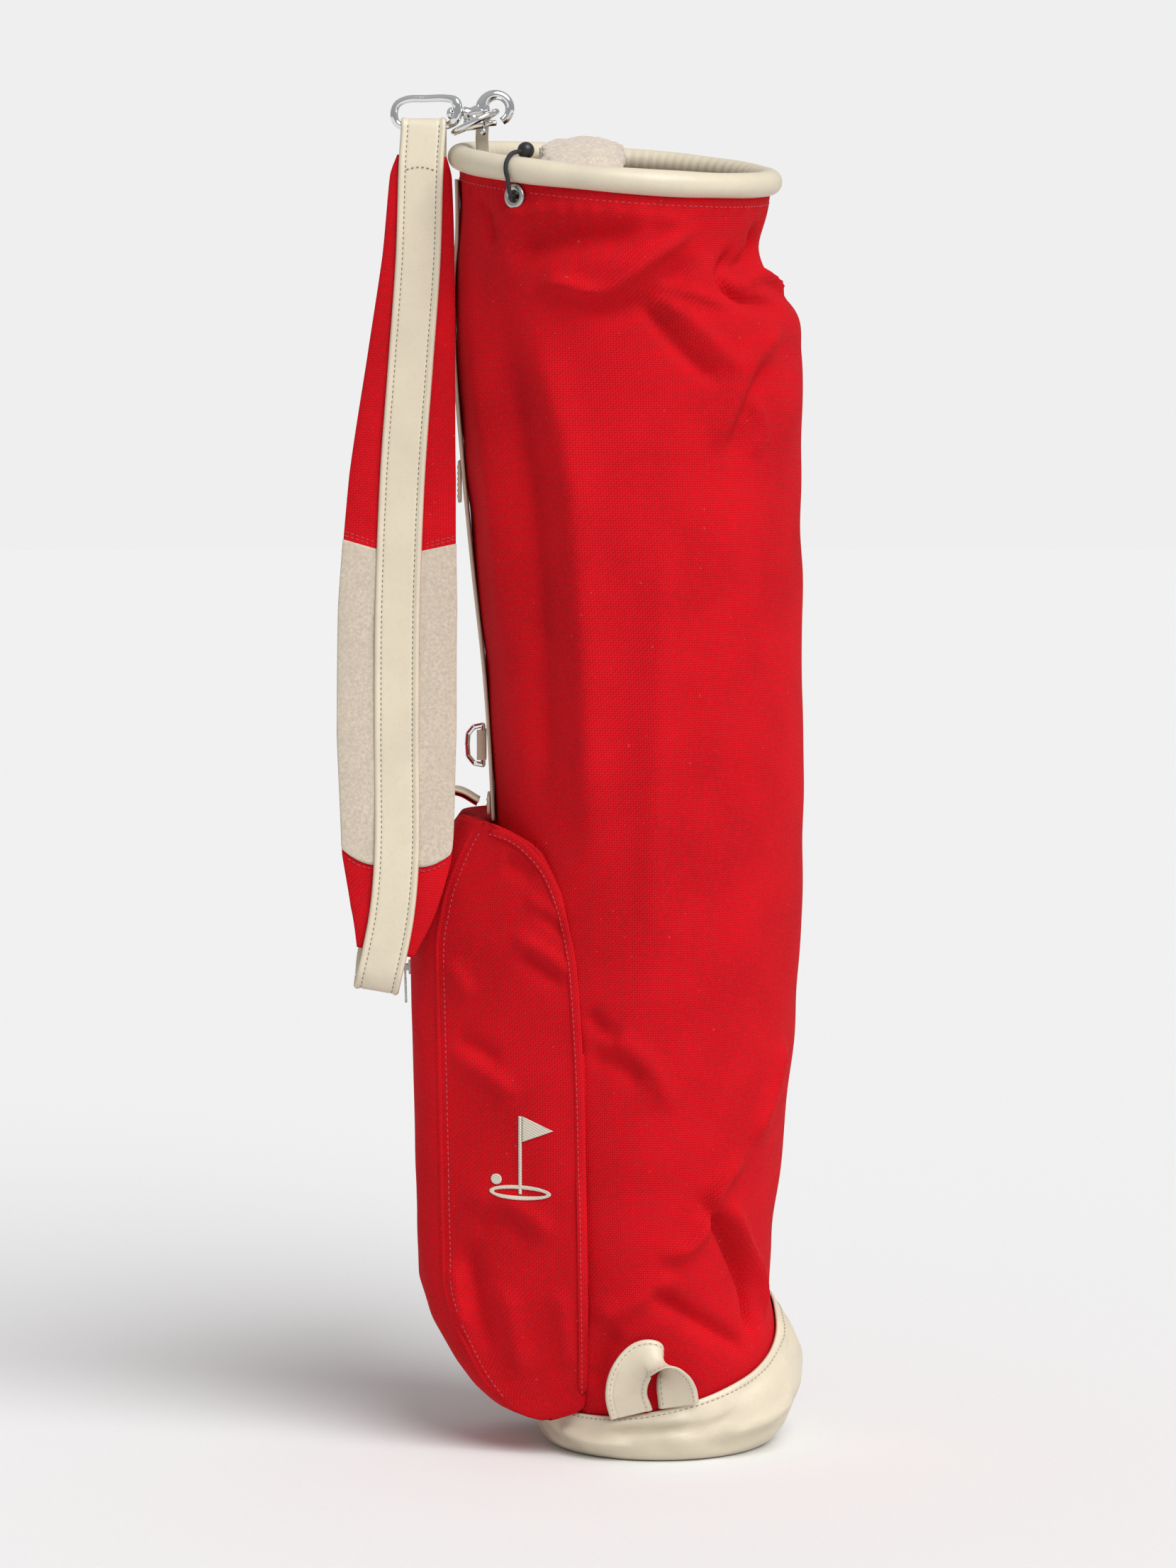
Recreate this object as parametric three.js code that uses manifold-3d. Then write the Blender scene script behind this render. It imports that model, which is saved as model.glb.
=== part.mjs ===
// A soft canvas carry bag for golf clubs: a canvas tube hung from a padded rim, a leather boot at its
// base, a zipped ball pouch, a spine with a carry handle and a towel ring, and a shoulder strap that is
// clipped to the rim with a swivel snap hook. Millimetres, +Z up, origin on the floor under the base.
import * as THREE from "three";
import { mergeVertices } from "three/addons/utils/BufferGeometryUtils.js";
import Module from "manifold-3d";

const wasm = await Module();
wasm.setup();

// ---------- driving dimensions ----------

const GAP = 0.4; // between pieces that touch
const CANVAS = 1.2; // canvas thickness
const LEATHER = 2; // leather thickness
const ROUND = 30; // facets round the tube

// The rim: a wire hoop in a foam roll under leather. Its plane falls to the right and to the near side.
const RIM = { x: -23, z: 859.2, radius: 103, roll: 9, wire: 2.5, fallX: 0.08, fallY: 0.093 };

// The canvas tube, from its foot up: height, left, right, half depth.
const TUBE = [
  [2.6, -66, 80, 76],
  [40, -74, 88, 84],
  [70, -80, 88, 90],
  [100, -85, 82, 93],
  [136, -89, 83, 96],
  [190, -93, 89, 99],
  [267, -97, 97, 101],
  [340, -100, 102, 102],
  [416, -102, 103.5, 103],
  [520, -108, 103, 101],
  [600, -116.5, 102, 98],
  [670, -123, 101.5, 95],
  [740, -128, 101.5, 94],
  [770, -128.5, 98, 96],
  [790, -128, 82, 99],
  [812, -126, 72, 101],
  [836, -125.7, 77, 102.7],
  [848.5, -126, 80, 103],
];
const TUBE_RADIUS = 100; // of the straight tube that is shaped to the table above
const LINING = { low: 770, off: -2.4 };

// The boot's top edge lies in a plane that is low at the near left and high at the far right.
const BOOT = { top: 60, riseX: 0.22, riseY: 0.27, steps: 60, bulge: 9 };
const BASE = { x: 7, radius: 70, plate: 5, pad: 4 };

// The side outline of the pouch, from its lower seam round the front to its upper seam: x, z.
const POUCH = [
  [-43, 33],
  [-74, 25],
  [-104, 32],
  [-130, 60],
  [-146, 88],
  [-154.5, 114],
  [-160, 346],
  [-152, 380],
  [-138, 410],
  [-126, 427],
  [-102, 420],
  [-80, 410],
  [-60, 378],
  [-48, 330],
  [-43, 257],
];
const POUCH_SIDE = { back: -43, front: -137, halfAtFront: 54, round: 0.2, panel: 0.86 };
const POUCH_FLARE = { foot: 0.14, body: 0.404, from: 20, to: 140 };
const POUCH_INSIDE = { scale: 0.97, x: -100, z: 215 };

// The zip runs down the front of the pouch between these two points of its outline.
const ZIP = { top: [-160, 340], bottom: [-154.6, 118], slot: 13, teeth: 3, stop: 5 };

// The spine: a leather strip down the left of the tube, with a stiff stay behind the canvas.
const SPINE = { top: 852, bottom: 424, width: 40 };
const STAY = { width: 18, thickness: 4, top: 830, bottom: 16 };
const ANCHOR = { x: -106.8, z: 434, width: 34, height: 14 };

// The snap hook lies across the bag in the plane y = HOOK.y.
const HOOK = { y: -14, axisZ: 895.5, shank: 2.2, clearance: 0.4 };
const EYE = { barZ: 887, left: -165.3, right: -133.9, wire: 2.5, collarX: -127.8, collar: 6.5, collarLength: 6.5 };
const CATCH = { x: -102, z: 898.5, radius: 9.2, wire: 3, tip: -70 };
const RING = { tip: [-101.8, 896.6], radius: 15.6, wire: 2.1, slope: 26, held: 5 };

const TOWEL = { z: 473.5, height: 27, wire: 1.75, reach: 10.5, tab: 26 };
const HANDLE = { low: 657, high: 800, rise: 13, root: 8, width: 26, end: 8 };
const EYELET = { x: -87.5, z: 839.2, inner: 4, outer: 8.2, cord: 1.5, ball: 5.6 };
const GRAB = { x: 2, z: 26, width: 24 };

// The shoulder strap hangs from the eye in front of the pouch's corner: its middle line and pad width.
const STRAP_WIDTH = 30;
const STRAP = [
  { at: [-150.1, -18.3, 886], pad: 0 },
  { at: [-151.2, -22, 868], pad: 0 },
  { at: [-151.8, -24, 855], pad: 41 },
  { at: [-153.5, -29, 800], pad: 48 },
  { at: [-158.5, -34.5, 730], pad: 59 },
  { at: [-164, -40, 655], pad: 71 },
  { at: [-167.3, -46.5, 570], pad: 78.5 },
  { at: [-168, -53, 485], pad: 79 },
  { at: [-168, -59, 404], pad: 73 },
  { at: [-171, -62, 367], pad: 56 },
  { at: [-176, -63, 340], pad: 38 },
];
const STRAP_FOLD = [
  { at: [-180, -62, 323], across: [1, 0, -0.2] },
  { at: [-182, -56.5, 314.5], across: [1, 0, -0.2] },
  { at: [-181.5, -50, 322], across: [1, 0, 0] },
];
const STRAP_LEG = [
  { at: [-181.3, -49.2, 322.9], across: [1, 0.05, 0] },
  { at: [-180.6, -46.5, 332], across: [1, 0.12, 0] },
  { at: [-176, -35, 362], across: [1, 0.42, 0] },
  { at: [-171.5, -21, 393], across: [0.85, 0.85, -0.1] },
  { at: [-162, -8, 424], across: [0.45, 1, -0.2] },
  { at: [-146, -1, 442], across: [0.15, 1, -0.1] },
  { at: [-128, 0, 443], across: [0, 1, 0] },
  { at: [-114.5, 0, 436], across: [0, 1, 0] },
];
const PATCH = { top: 612, low: 398, width: 22 };

// ---------- materials ----------

const finish = (color, roughness, metalness = 0) =>
  new THREE.MeshStandardMaterial({ color, roughness, metalness });
const redCanvas = finish("#c1121f", 0.85);
const creamLeather = finish("#e3d6bd", 0.55);
const suede = finish("#d3c1aa", 0.95);
const fleece = finish("#e9dcc8", 1);
const polished = finish("#d8dadd", 0.15, 1);
const nickel = finish("#b9babd", 0.35, 1);
const springSteel = finish("#8f9196", 0.4, 1);
const black = finish("#16181b", 0.5);
const boardStuff = finish("#2a2a2c", 0.7);
const paintedSteel = finish("#303135", 0.5, 1);
const foam = finish("#8d8f94", 0.9);

// ---------- shaping helpers ----------

const V = (x, y, z) => new THREE.Vector3(x, y, z);
const lerp = THREE.MathUtils.lerp;

// Moves every vertex of a geometry to the place that a function gives for it.
function warp(geometry, place) {
  const p = geometry.attributes.position;
  const v = new THREE.Vector3();
  for (let i = 0; i < p.count; i++) {
    v.fromBufferAttribute(p, i);
    place(v);
    p.setXYZ(i, v.x, v.y, v.z);
  }
  geometry.computeVertexNormals();
  return geometry;
}

// A solid from a geometry, and a geometry from a solid.
function solid(geometry) {
  const bare = geometry.clone();
  for (const name of Object.keys(bare.attributes)) {
    if (name !== "position") bare.deleteAttribute(name);
  }
  const merged = mergeVertices(bare, 1e-3);
  return new wasm.Manifold(
    new wasm.Mesh({
      numProp: 3,
      vertProperties: merged.attributes.position.array,
      triVerts: new Uint32Array(merged.index.array),
    }),
  );
}

function geometryOf(made) {
  const mesh = made.getMesh();
  const geometry = new THREE.BufferGeometry();
  geometry.setAttribute("position", new THREE.BufferAttribute(new Float32Array(mesh.vertProperties), 3));
  geometry.setIndex(new THREE.BufferAttribute(new Uint32Array(mesh.triVerts), 1));
  return geometry;
}

const joined = (...parts) => parts.map(solid).reduce((all, part) => all.add(part));
const without = (made, ...cutters) => cutters.reduce((left, cutter) => left.subtract(solid(cutter)), made);

// A lathe about +Z from a closed profile of [radius, height] pairs that runs anticlockwise.
function lathe(profile, facets = ROUND) {
  const points = profile.map(([r, z]) => new THREE.Vector2(r, z));
  return new THREE.LatheGeometry(points, facets).rotateX(Math.PI / 2);
}

// A rod between two points.
function rod(from, to, radius, facets = 14, radiusTo = radius) {
  const along = to.clone().sub(from);
  const geometry = new THREE.CylinderGeometry(radiusTo, radius, along.length(), facets);
  geometry.applyQuaternion(new THREE.Quaternion().setFromUnitVectors(V(0, 1, 0), along.clone().normalize()));
  return geometry.translate(...from.clone().add(to).multiplyScalar(0.5).toArray());
}

const ball = (centre, radius, facets = 14) =>
  new THREE.SphereGeometry(radius, facets, Math.round(facets * 0.6)).translate(...centre.toArray());

const block = (low, high) =>
  new THREE.BoxGeometry(...high.map((h, i) => h - low[i])).translate(...high.map((h, i) => (h + low[i]) / 2));

// A strip along stations that each give a middle point, the direction of the width, the width and a shift
// across. It lies at a height above the middle line, on the side that tangent x across points to.
function strip(stations, thickness, height = 0, stepsPerSpan = 3) {
  const line = new THREE.CatmullRomCurve3(stations.map((s) => V(...s.at)), false, "centripetal");
  const spans = stations.length - 1;
  const geometry = new THREE.BoxGeometry(1, 1, 1, spans * stepsPerSpan, 1, 1);
  return warp(geometry, (v) => {
    const t = THREE.MathUtils.clamp(v.x + 0.5, 0, 1);
    const i = Math.min(spans - 1, Math.floor(t * spans));
    const share = t * spans - i;
    const [a, b] = [stations[i], stations[i + 1]];
    const across = V(...a.across).normalize().lerp(V(...b.across).normalize(), share);
    const tangent = line.getTangent(t);
    across.addScaledVector(tangent, -across.dot(tangent)).normalize();
    const out = tangent.clone().cross(across);
    const side = v.y * lerp(a.width, b.width, share) + lerp(a.shift ?? 0, b.shift ?? 0, share);
    const depth = v.z * thickness + height;
    v.copy(line.getPoint(t)).addScaledVector(across, side).addScaledVector(out, depth);
  });
}

// A wire of round section along a curve.
function wire(points, radius, steps, facets = 8) {
  const section = new THREE.Shape().absarc(0, 0, radius, 0, 2 * Math.PI);
  const path = new THREE.CatmullRomCurve3(points, false, "centripetal");
  return new THREE.ExtrudeGeometry(section, { steps, curveSegments: facets / 2, extrudePath: path });
}

// ---------- the shape of the tube ----------

// The tube's left, right and half depth at a height.
function section(z) {
  const last = TUBE.length - 1;
  const held = THREE.MathUtils.clamp(z, TUBE[0][0], TUBE[last][0]);
  const i = Math.min(last - 1, TUBE.findLastIndex((row) => row[0] <= held));
  const share = (held - TUBE[i][0]) / (TUBE[i + 1][0] - TUBE[i][0]);
  const [left, right, depth] = [1, 2, 3].map((k) => lerp(TUBE[i][k], TUBE[i + 1][k], share));
  return { left, right, depth };
}

// How far the rim's plane lifts a point of the tube. It dies away down the tube.
const rimLift = (x, y, z) =>
  THREE.MathUtils.smoothstep(z, 690, 836) * (RIM.fallY * y - RIM.fallX * (x - RIM.x));

// Takes a straight tube about +Z to the bag's tube. A radius past TUBE_RADIUS stands off the canvas.
function toTube(v) {
  const { left, right, depth } = section(v.z);
  const radius = Math.hypot(v.x, v.y);
  const off = Math.max(0, radius - TUBE_RADIUS) + Math.min(0, Math.max(radius - TUBE_RADIUS, -12));
  const inner = radius < TUBE_RADIUS - 12 ? radius / (TUBE_RADIUS - 12) : 1;
  const cos = radius ? v.x / radius : 0;
  const sin = radius ? v.y / radius : 0;
  const x = (left + right) / 2 + inner * cos * ((right - left) / 2 + off);
  const y = inner * sin * (depth + off);
  v.set(x, y, v.z + rimLift(x, y, v.z));
}

const heightsBetween = (low, high) => [
  low,
  ...TUBE.map((row) => row[0]).filter((z) => z > low + 2 && z < high - 2),
  high,
];

// A wall round the tube between two standoffs from the canvas's middle.
function tubeWall(inner, outer, low, high) {
  const heights = heightsBetween(low, high);
  const up = heights.map((z) => [TUBE_RADIUS + outer, z]);
  const down = [...heights].reverse().map((z) => [TUBE_RADIUS + inner, z]);
  return warp(lathe([...up, ...down, up[0]]), toTube);
}

// The whole tube as one block, used to cut what lies against it.
function tubeBlock(off) {
  const heights = heightsBetween(-20, 848.5);
  return warp(lathe([[0, -20], ...heights.map((z) => [TUBE_RADIUS + off, z]), [0, 848.5]]), toTube);
}

// The x of the tube's left face at a height and depth.
function leftFace(z, y = 0, off = 0) {
  const { left, right, depth } = section(z);
  return (left + right) / 2 - ((right - left) / 2 + off) * Math.sqrt(1 - (y / (depth + off)) ** 2);
}

// ---------- the rim ----------

const placeRim = (v) => v.set(v.x + RIM.x, v.y, v.z + RIM.z + RIM.fallY * v.y - RIM.fallX * v.x);

// A ring whose section is a band of a circle, open below where the canvas comes in.
function rimBand(inner, outer, opening, arcs) {
  const arc = (radius, backwards) => {
    const open = Math.asin(opening / 2 / radius);
    return Array.from({ length: arcs + 1 }, (_, i) => {
      const share = (backwards ? arcs - i : i) / arcs;
      const a = -Math.PI / 2 + open + (2 * Math.PI - 2 * open) * share;
      return [RIM.radius + radius * Math.cos(a), radius * Math.sin(a)];
    });
  };
  const profile = [...arc(outer, false), ...arc(inner, true)];
  return warp(lathe([...profile, profile[0]]), placeRim);
}

function rimHoop() {
  const profile = Array.from({ length: 9 }, (_, i) => {
    const a = (i / 8) * 2 * Math.PI;
    return [RIM.radius + RIM.wire * Math.cos(a), RIM.wire * Math.sin(a)];
  });
  return warp(lathe(profile), placeRim);
}

// ---------- the boot and what lies in it ----------

const bootTop = (x, y) => BOOT.top + BOOT.riseX * (x - BASE.x) + BOOT.riseY * y;

// Profile heights run from 0 to BOOT.steps at the top edge, and the wall bulges on the right.
function placeBoot(v) {
  const radius = Math.hypot(v.x, v.y);
  const share = v.z / BOOT.steps;
  const cos = radius ? v.x / radius : 0;
  const sin = radius ? v.y / radius : 0;
  const top = bootTop(BASE.x + cos * 84, sin * 86);
  const z = v.z <= LEATHER ? v.z : LEATHER + ((v.z - LEATHER) / (BOOT.steps - LEATHER)) * (top - LEATHER);
  const { left, right, depth } = section(z);
  const bulge = BOOT.bulge * Math.max(0, cos) * Math.sin(Math.PI * Math.min(1, share));
  const off = Math.max(0, radius - TUBE_RADIUS) + (radius > TUBE_RADIUS ? bulge : 0);
  const inner = Math.min(1, radius / TUBE_RADIUS);
  v.set((left + right) / 2 + inner * cos * ((right - left) / 2 + off), inner * sin * (depth + off), z);
}

function boot() {
  const wall = [
    [0, 0],
    [50, 0],
    [100, 0],
    [104.5, 4],
    [107, 18],
    [106.5, 34],
    [103.4, 60],
    [101.4, 60],
    [104.5, 34],
    [105, 18],
    [102.6, 5],
    [101.4, 2],
    [50, 2],
    [0, 2],
  ];
  return warp(lathe(wall), placeBoot);
}

const disc = (radius, low, high) =>
  lathe([[0, low], [radius, low], [radius, high], [0, high]]).translate(BASE.x, 0, 0);

// ---------- the pouch ----------

// Gives the flat outline its depth. y comes in as a share of the half depth, and the front rounds back.
function placePouch(v) {
  const { foot, body, from, to } = POUCH_FLARE;
  const flare = lerp(foot, body, THREE.MathUtils.smoothstep(v.z, from, to));
  const half = POUCH_SIDE.halfAtFront + flare * (v.x - POUCH_SIDE.front);
  const back = POUCH_SIDE.back + (v.x - POUCH_SIDE.back) * (1 - POUCH_SIDE.round * Math.min(1, v.y ** 4));
  v.set(back, v.y * half, v.z);
}

function pouchBlock(scale) {
  const { x: middleX, z: middleZ } = POUCH_INSIDE;
  const corners = POUCH.map(
    ([x, z]) => new THREE.Vector2(middleX + (x - middleX) * scale, middleZ + (z - middleZ) * scale),
  );
  const outline = new THREE.Shape(corners);
  const made = new THREE.ExtrudeGeometry(outline, { depth: 2 * scale, steps: 12, bevelEnabled: false });
  return warp(made.translate(0, 0, -scale).rotateX(Math.PI / 2), placePouch);
}

// The part of the pouch between two shares of its half depth.
function pouchSlice(low, high) {
  return warp(new THREE.BoxGeometry(180, high - low, 460, 1, 4, 46).translate(-110, (low + high) / 2, 215), placePouch);
}

// A bar along the zip: y range, depth inwards and outwards from the canvas, and how far it stops short.
function zipBar(yLow, yHigh, inward, outward, shortTop, shortBottom) {
  const [topX, topZ] = ZIP.top;
  const [lowX, lowZ] = ZIP.bottom;
  const long = Math.hypot(lowX - topX, topZ - lowZ);
  const bar = block([-outward, yLow, shortBottom], [inward, yHigh, long - shortTop]);
  return bar.rotateY(Math.atan2(topX - lowX, topZ - lowZ)).translate(lowX, 0, lowZ);
}

const pouchShell = solid(pouchBlock(1)).subtract(solid(pouchBlock(POUCH_INSIDE.scale)));
const pouchClear = pouchShell.subtract(solid(tubeBlock(CANVAS / 2 + GAP))).subtract(bootCutter());

// The boot grown by the gap, which the pouch's foot stays clear of.
function bootCutter() {
  const wall = [
    [0, -5],
    [104.9, -5],
    [104.9, 3.6],
    [107.6, 18],
    [107.2, 34],
    [105, 62],
    [0, 62],
  ];
  return solid(warp(lathe(wall), placeBoot));
}

const largest = (made) => made.decompose().reduce((a, b) => (a.volume() > b.volume() ? a : b));

function pouchPanel(low, high) {
  return largest(pouchClear.intersect(solid(pouchSlice(low, high))));
}

// The gusset between the panels, with the slot that the zip fills.
function pouchGusset() {
  const edge = POUCH_SIDE.panel - 0.015;
  const sides = [pouchSlice(-1.2, -edge), pouchSlice(edge, 1.2)];
  return largest(without(pouchClear, ...sides, zipBar(-ZIP.slot / 2, ZIP.slot / 2, 9, 9, 0, 0)));
}

// ---------- the strap ----------

const X_ACROSS = [1, 0, 0];
const strapFront = STRAP.map((s) => ({ ...s, across: X_ACROSS, width: STRAP_WIDTH }));

// The strap's leather: over the bar of the eye, down the front and round the fold at the foot.
function strapLeather() {
  const barX = STRAP[0].at[0];
  const over = EYE.wire + 2 * GAP + LEATHER / 2;
  const round = [
    [HOOK.y + over, EYE.barZ - 32],
    [HOOK.y + over, EYE.barZ - 12],
    [HOOK.y + over, EYE.barZ],
    [HOOK.y + over * 0.71, EYE.barZ + over * 0.71],
    [HOOK.y, EYE.barZ + over],
    [HOOK.y - over * 0.71, EYE.barZ + over * 0.71],
  ].map(([y, z]) => ({ at: [barX, y, z], across: X_ACROSS, width: STRAP_WIDTH }));
  const fold = STRAP_FOLD.map((s) => ({ ...s, width: STRAP_WIDTH }));
  return strip([...round, ...strapFront, ...fold], LEATHER);
}

const padLine = strapFront.slice(2).map((s) => ({ ...s, width: s.pad }));

function padLayer(thickness, height) {
  return strip(padLine, thickness, height);
}

// A suede patch beside the leather strip, on one side of it.
function strapPatch(side) {
  const inPatch = padLine.filter((s) => s.at[2] < PATCH.top + 60 && s.at[2] > PATCH.low - 10);
  const shift = side * (STRAP_WIDTH / 2 + GAP + PATCH.width / 2);
  const whole = strip(inPatch.map((s) => ({ ...s, width: PATCH.width, shift })), CANVAS, -0.4);
  const trim = block([-260, -120, PATCH.low], [-60, 40, PATCH.top]);
  return solid(whole).intersect(solid(trim));
}

// ---------- the snap hook ----------

const inHook = (x, z, y = HOOK.y) => V(x, y, z);

// A chain of rods with balls at its corners.
function bentRod(points, radius, facets = 8) {
  const rods = points.slice(1).map((p, i) => rod(points[i], p, radius, facets));
  return joined(...rods, ...points.map((p) => ball(p, radius, facets)));
}

// The eye: a flattened loop that the strap hangs from, with a collar that the hook's shank turns in.
function snapEye() {
  const { barZ, left, right, wire: r, collarX, collar, collarLength } = EYE;
  const loop = bentRod(
    [
      inHook(right + 3.5, 889.2),
      inHook(right, barZ),
      inHook(left, barZ),
      inHook(left - 3.4, 889.4),
      inHook(left - 4.4, 895),
      inHook(left - 2.6, 901),
      inHook(left + 3, 904.6),
      inHook(-148, 905.4),
      inHook(right + 3, 903.6),
      inHook(collarX, 900),
    ],
    r,
  );
  const body = rod(inHook(collarX - collarLength / 2, HOOK.axisZ), inHook(collarX + collarLength / 2, HOOK.axisZ), collar, 20);
  const bore = rod(inHook(left + 6, HOOK.axisZ), inHook(-110, HOOK.axisZ), HOOK.shank + HOOK.clearance, 16);
  return without(loop.add(solid(body)).add(joined(rod(inHook(right + 3.5, 889.2), inHook(collarX, 891), r, 12))), bore);
}

// The bolt runs along the hook's foot and closes its mouth.
const BOLT = { from: [-119.5, 887.4], to: [-101.9, 889.3], radius: 1.9, travel: 7, knobX: -110.5 };
const boltAt = (x) => inHook(x, lerp(BOLT.from[1], BOLT.to[1], (x - BOLT.from[0]) / (BOLT.to[0] - BOLT.from[0])));

function snapHook() {
  const degrees = Math.PI / 180;
  const onLoop = (angle) =>
    inHook(CATCH.x + CATCH.radius * Math.cos(angle * degrees), CATCH.z + CATCH.radius * Math.sin(angle * degrees));
  const loop = bentRod([185, 160, 135, 110, 85, 60, 35, 10, -15, -40, CATCH.tip].map(onLoop), CATCH.wire);
  const headX = EYE.collarX - EYE.collarLength / 2 - GAP;
  const shank = [
    rod(inHook(headX - 2.6, HOOK.axisZ), inHook(headX, HOOK.axisZ), 3.5, 16),
    rod(inHook(headX - 1, HOOK.axisZ), inHook(-121, HOOK.axisZ), HOOK.shank, 16),
    rod(inHook(EYE.collarX + EYE.collarLength / 2 + 1.9, HOOK.axisZ), inHook(-113, 897.5), 5, 16, 4),
    rod(inHook(-113, 897.5), onLoop(185), 4, 16, 3.4),
  ];
  const barrel = [
    rod(boltAt(-123.2), boltAt(-110.4), 3.7, 14),
    rod(boltAt(-118.5), inHook(-116.5, HOOK.axisZ), 3.4, 12),
  ];
  const bore = rod(boltAt(-121.8), boltAt(-90), BOLT.radius + 0.35, 14);
  const slot = block(
    [BOLT.knobX - BOLT.travel - 2.2, HOOK.y - 1.8, 879],
    [BOLT.knobX + 4, HOOK.y + 1.8, 888],
  );
  const mouth = block([-109.6, HOOK.y - 6, 884], [-102.2, HOOK.y + 6, 893.4]);
  return without(loop.add(joined(...shank, ...barrel)), bore, slot, mouth);
}

function snapBolt() {
  const start = boltAt(BOLT.from[0] + BOLT.travel + 1);
  const end = boltAt(-102.6);
  const knob = boltAt(BOLT.knobX);
  return joined(
    rod(start, end, BOLT.radius, 12),
    rod(knob, V(knob.x, knob.y, 883.4), 1.3, 10),
    ball(V(knob.x, knob.y, 882.4), 2.3, 12),
  );
}

// The ring's plane rises to the right at RING.slope and holds the y direction.
const slope = THREE.MathUtils.degToRad(RING.slope);
const upSlope = V(Math.cos(slope), 0, Math.sin(slope));
const ringCentre = V(RING.tip[0], HOOK.y, RING.tip[1]).addScaledVector(upSlope, -RING.radius);

function topRing() {
  const ring = new THREE.TorusGeometry(RING.radius, RING.wire, 8, 30);
  return ring.rotateY(-slope).translate(...ringCentre.toArray());
}

// Where the leather tab holds the ring's far side, and the direction of the ring's wire there.
const holdAngle = Math.acos(RING.held / RING.radius);
const ringHold = ringCentre
  .clone()
  .addScaledVector(upSlope, RING.held)
  .add(V(0, RING.radius * Math.sin(holdAngle), 0));
const ringWireAt = upSlope.clone().multiplyScalar(Math.sin(holdAngle)).add(V(0, -Math.cos(holdAngle), 0));

function ringTab() {
  const half = 4.25;
  const ends = [-half, half].map((d) => ringHold.clone().addScaledVector(ringWireAt, d));
  const beyond = [-half - 6, half + 6].map((d) => ringHold.clone().addScaledVector(ringWireAt, d));
  const loop = solid(rod(ends[0], ends[1], RING.wire + 0.95 + LEATHER, 18));
  const below = ringHold.clone().add(V(0, 0.5, -4.2));
  const leg = strip(
    [
      { at: below.toArray(), across: [1, 0, 0.3], width: 8.5 },
      { at: [ringHold.x - 0.4, ringHold.y + 1.5, 880], across: [1, 0, 0], width: 8.5 },
      { at: [ringHold.x - 0.2, 3.4, 866], across: [1, 0.5, 0], width: 8 },
      { at: [-115.6, 3.6, 852], across: [0.2, 1, 0], width: 10 },
      { at: [leftFace(838) + 7, 3.6, 840], across: [0, 1, 0], width: 11 },
    ],
    3,
  );
  return without(loop.add(solid(leg)), rod(beyond[0], beyond[1], RING.wire + 0.95, 18));
}

// ---------- eyelet, elastic cord and toggle ----------

const eyeletY = -Math.sqrt(1 - ((EYELET.x - RIM.x) / section(EYELET.z).depth) ** 2) * section(EYELET.z).depth;
const eyeletOut = V(EYELET.x - RIM.x, eyeletY, 0).normalize();
const eyeletAt = V(EYELET.x, eyeletY, EYELET.z).addScaledVector(eyeletOut, 0.4);

// A flanged ring through the canvas: two rolled flanges and a barrel.
function eyelet() {
  const flange = 1.6;
  const inside = CANVAS / 2 + GAP + 0.5;
  const behind = inside + 0.9;
  const profile = [
    [EYELET.inner, -behind - flange],
    [EYELET.outer, -behind - flange],
    [EYELET.outer, -behind],
    [EYELET.inner + 1, -behind],
    [EYELET.inner + 1, inside],
    [EYELET.outer - 0.8, inside],
    [EYELET.outer, inside + flange * 0.4],
    [EYELET.outer - 1.6, inside + flange],
    [EYELET.inner + 1.4, inside + flange],
    [EYELET.inner, inside + flange * 0.4],
  ];
  const ring = lathe([...profile, profile[0]], 24);
  ring.applyQuaternion(new THREE.Quaternion().setFromUnitVectors(V(0, 0, 1), eyeletOut));
  return ring.translate(...eyeletAt.toArray());
}

const eyeletHole = () =>
  rod(
    eyeletAt.clone().addScaledVector(eyeletOut, -8),
    eyeletAt.clone().addScaledVector(eyeletOut, 8),
    EYELET.inner + 1 + GAP,
    20,
  );

// The elastic cord: out of the eyelet, up round the roll and in to the ball.
const rimMiddle = V(EYELET.x - RIM.x, eyeletY, 0).setLength(RIM.radius);
placeRim(rimMiddle);
const aroundRoll = (degrees, radius) => {
  const a = THREE.MathUtils.degToRad(degrees);
  return rimMiddle
    .clone()
    .addScaledVector(eyeletOut, radius * Math.cos(a))
    .add(V(0, 0, radius * Math.sin(a)));
};
const CORD_ROUND = RIM.roll + EYELET.cord + 0.5;
const toggleAt = aroundRoll(128, RIM.roll + EYELET.ball + 1.2);

function elasticCord() {
  const route = [
    eyeletAt.clone().addScaledVector(eyeletOut, -7),
    eyeletAt.clone().addScaledVector(eyeletOut, 1.5),
    eyeletAt.clone().addScaledVector(eyeletOut, 6).add(V(0, 0, 1.2)),
    ...[-35, -5, 25, 55, 78].map((a) => aroundRoll(a, CORD_ROUND)),
    toggleAt.clone().add(aroundRoll(88, CORD_ROUND).sub(toggleAt).setLength(EYELET.ball + GAP)),
  ];
  return wire(route, EYELET.cord, 28, 8);
}

const cordKnot = () => ball(eyeletAt.clone().addScaledVector(eyeletOut, -7 - 4.2 - GAP), 4.2, 12);

// ---------- handle, towel ring, grab loop ----------

const handleX = (z) => leftFace(z) - CANVAS / 2 - GAP - LEATHER;

// The handle bows out from narrow ends, which it turns about: height, rise and width at each station.
function handleLayer(thickness, height) {
  const { low, high, rise, root, width, end } = HANDLE;
  const stations = [
    [high - 3, 0, end],
    [high - 16, rise * 0.5, (width + end) / 2],
    [high - 38, rise * 0.88, width],
    [(low + high) / 2, rise, width],
    [low + 38, rise * 0.88, width],
    [low + 16, rise * 0.5, (width + end) / 2],
    [low + 3, 0, end],
  ].map(([z, out, across]) => ({ at: [handleX(z) - root - out, 0, z], across: [0, -1, 0], width: across }));
  return strip(stations, thickness, height);
}

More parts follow.
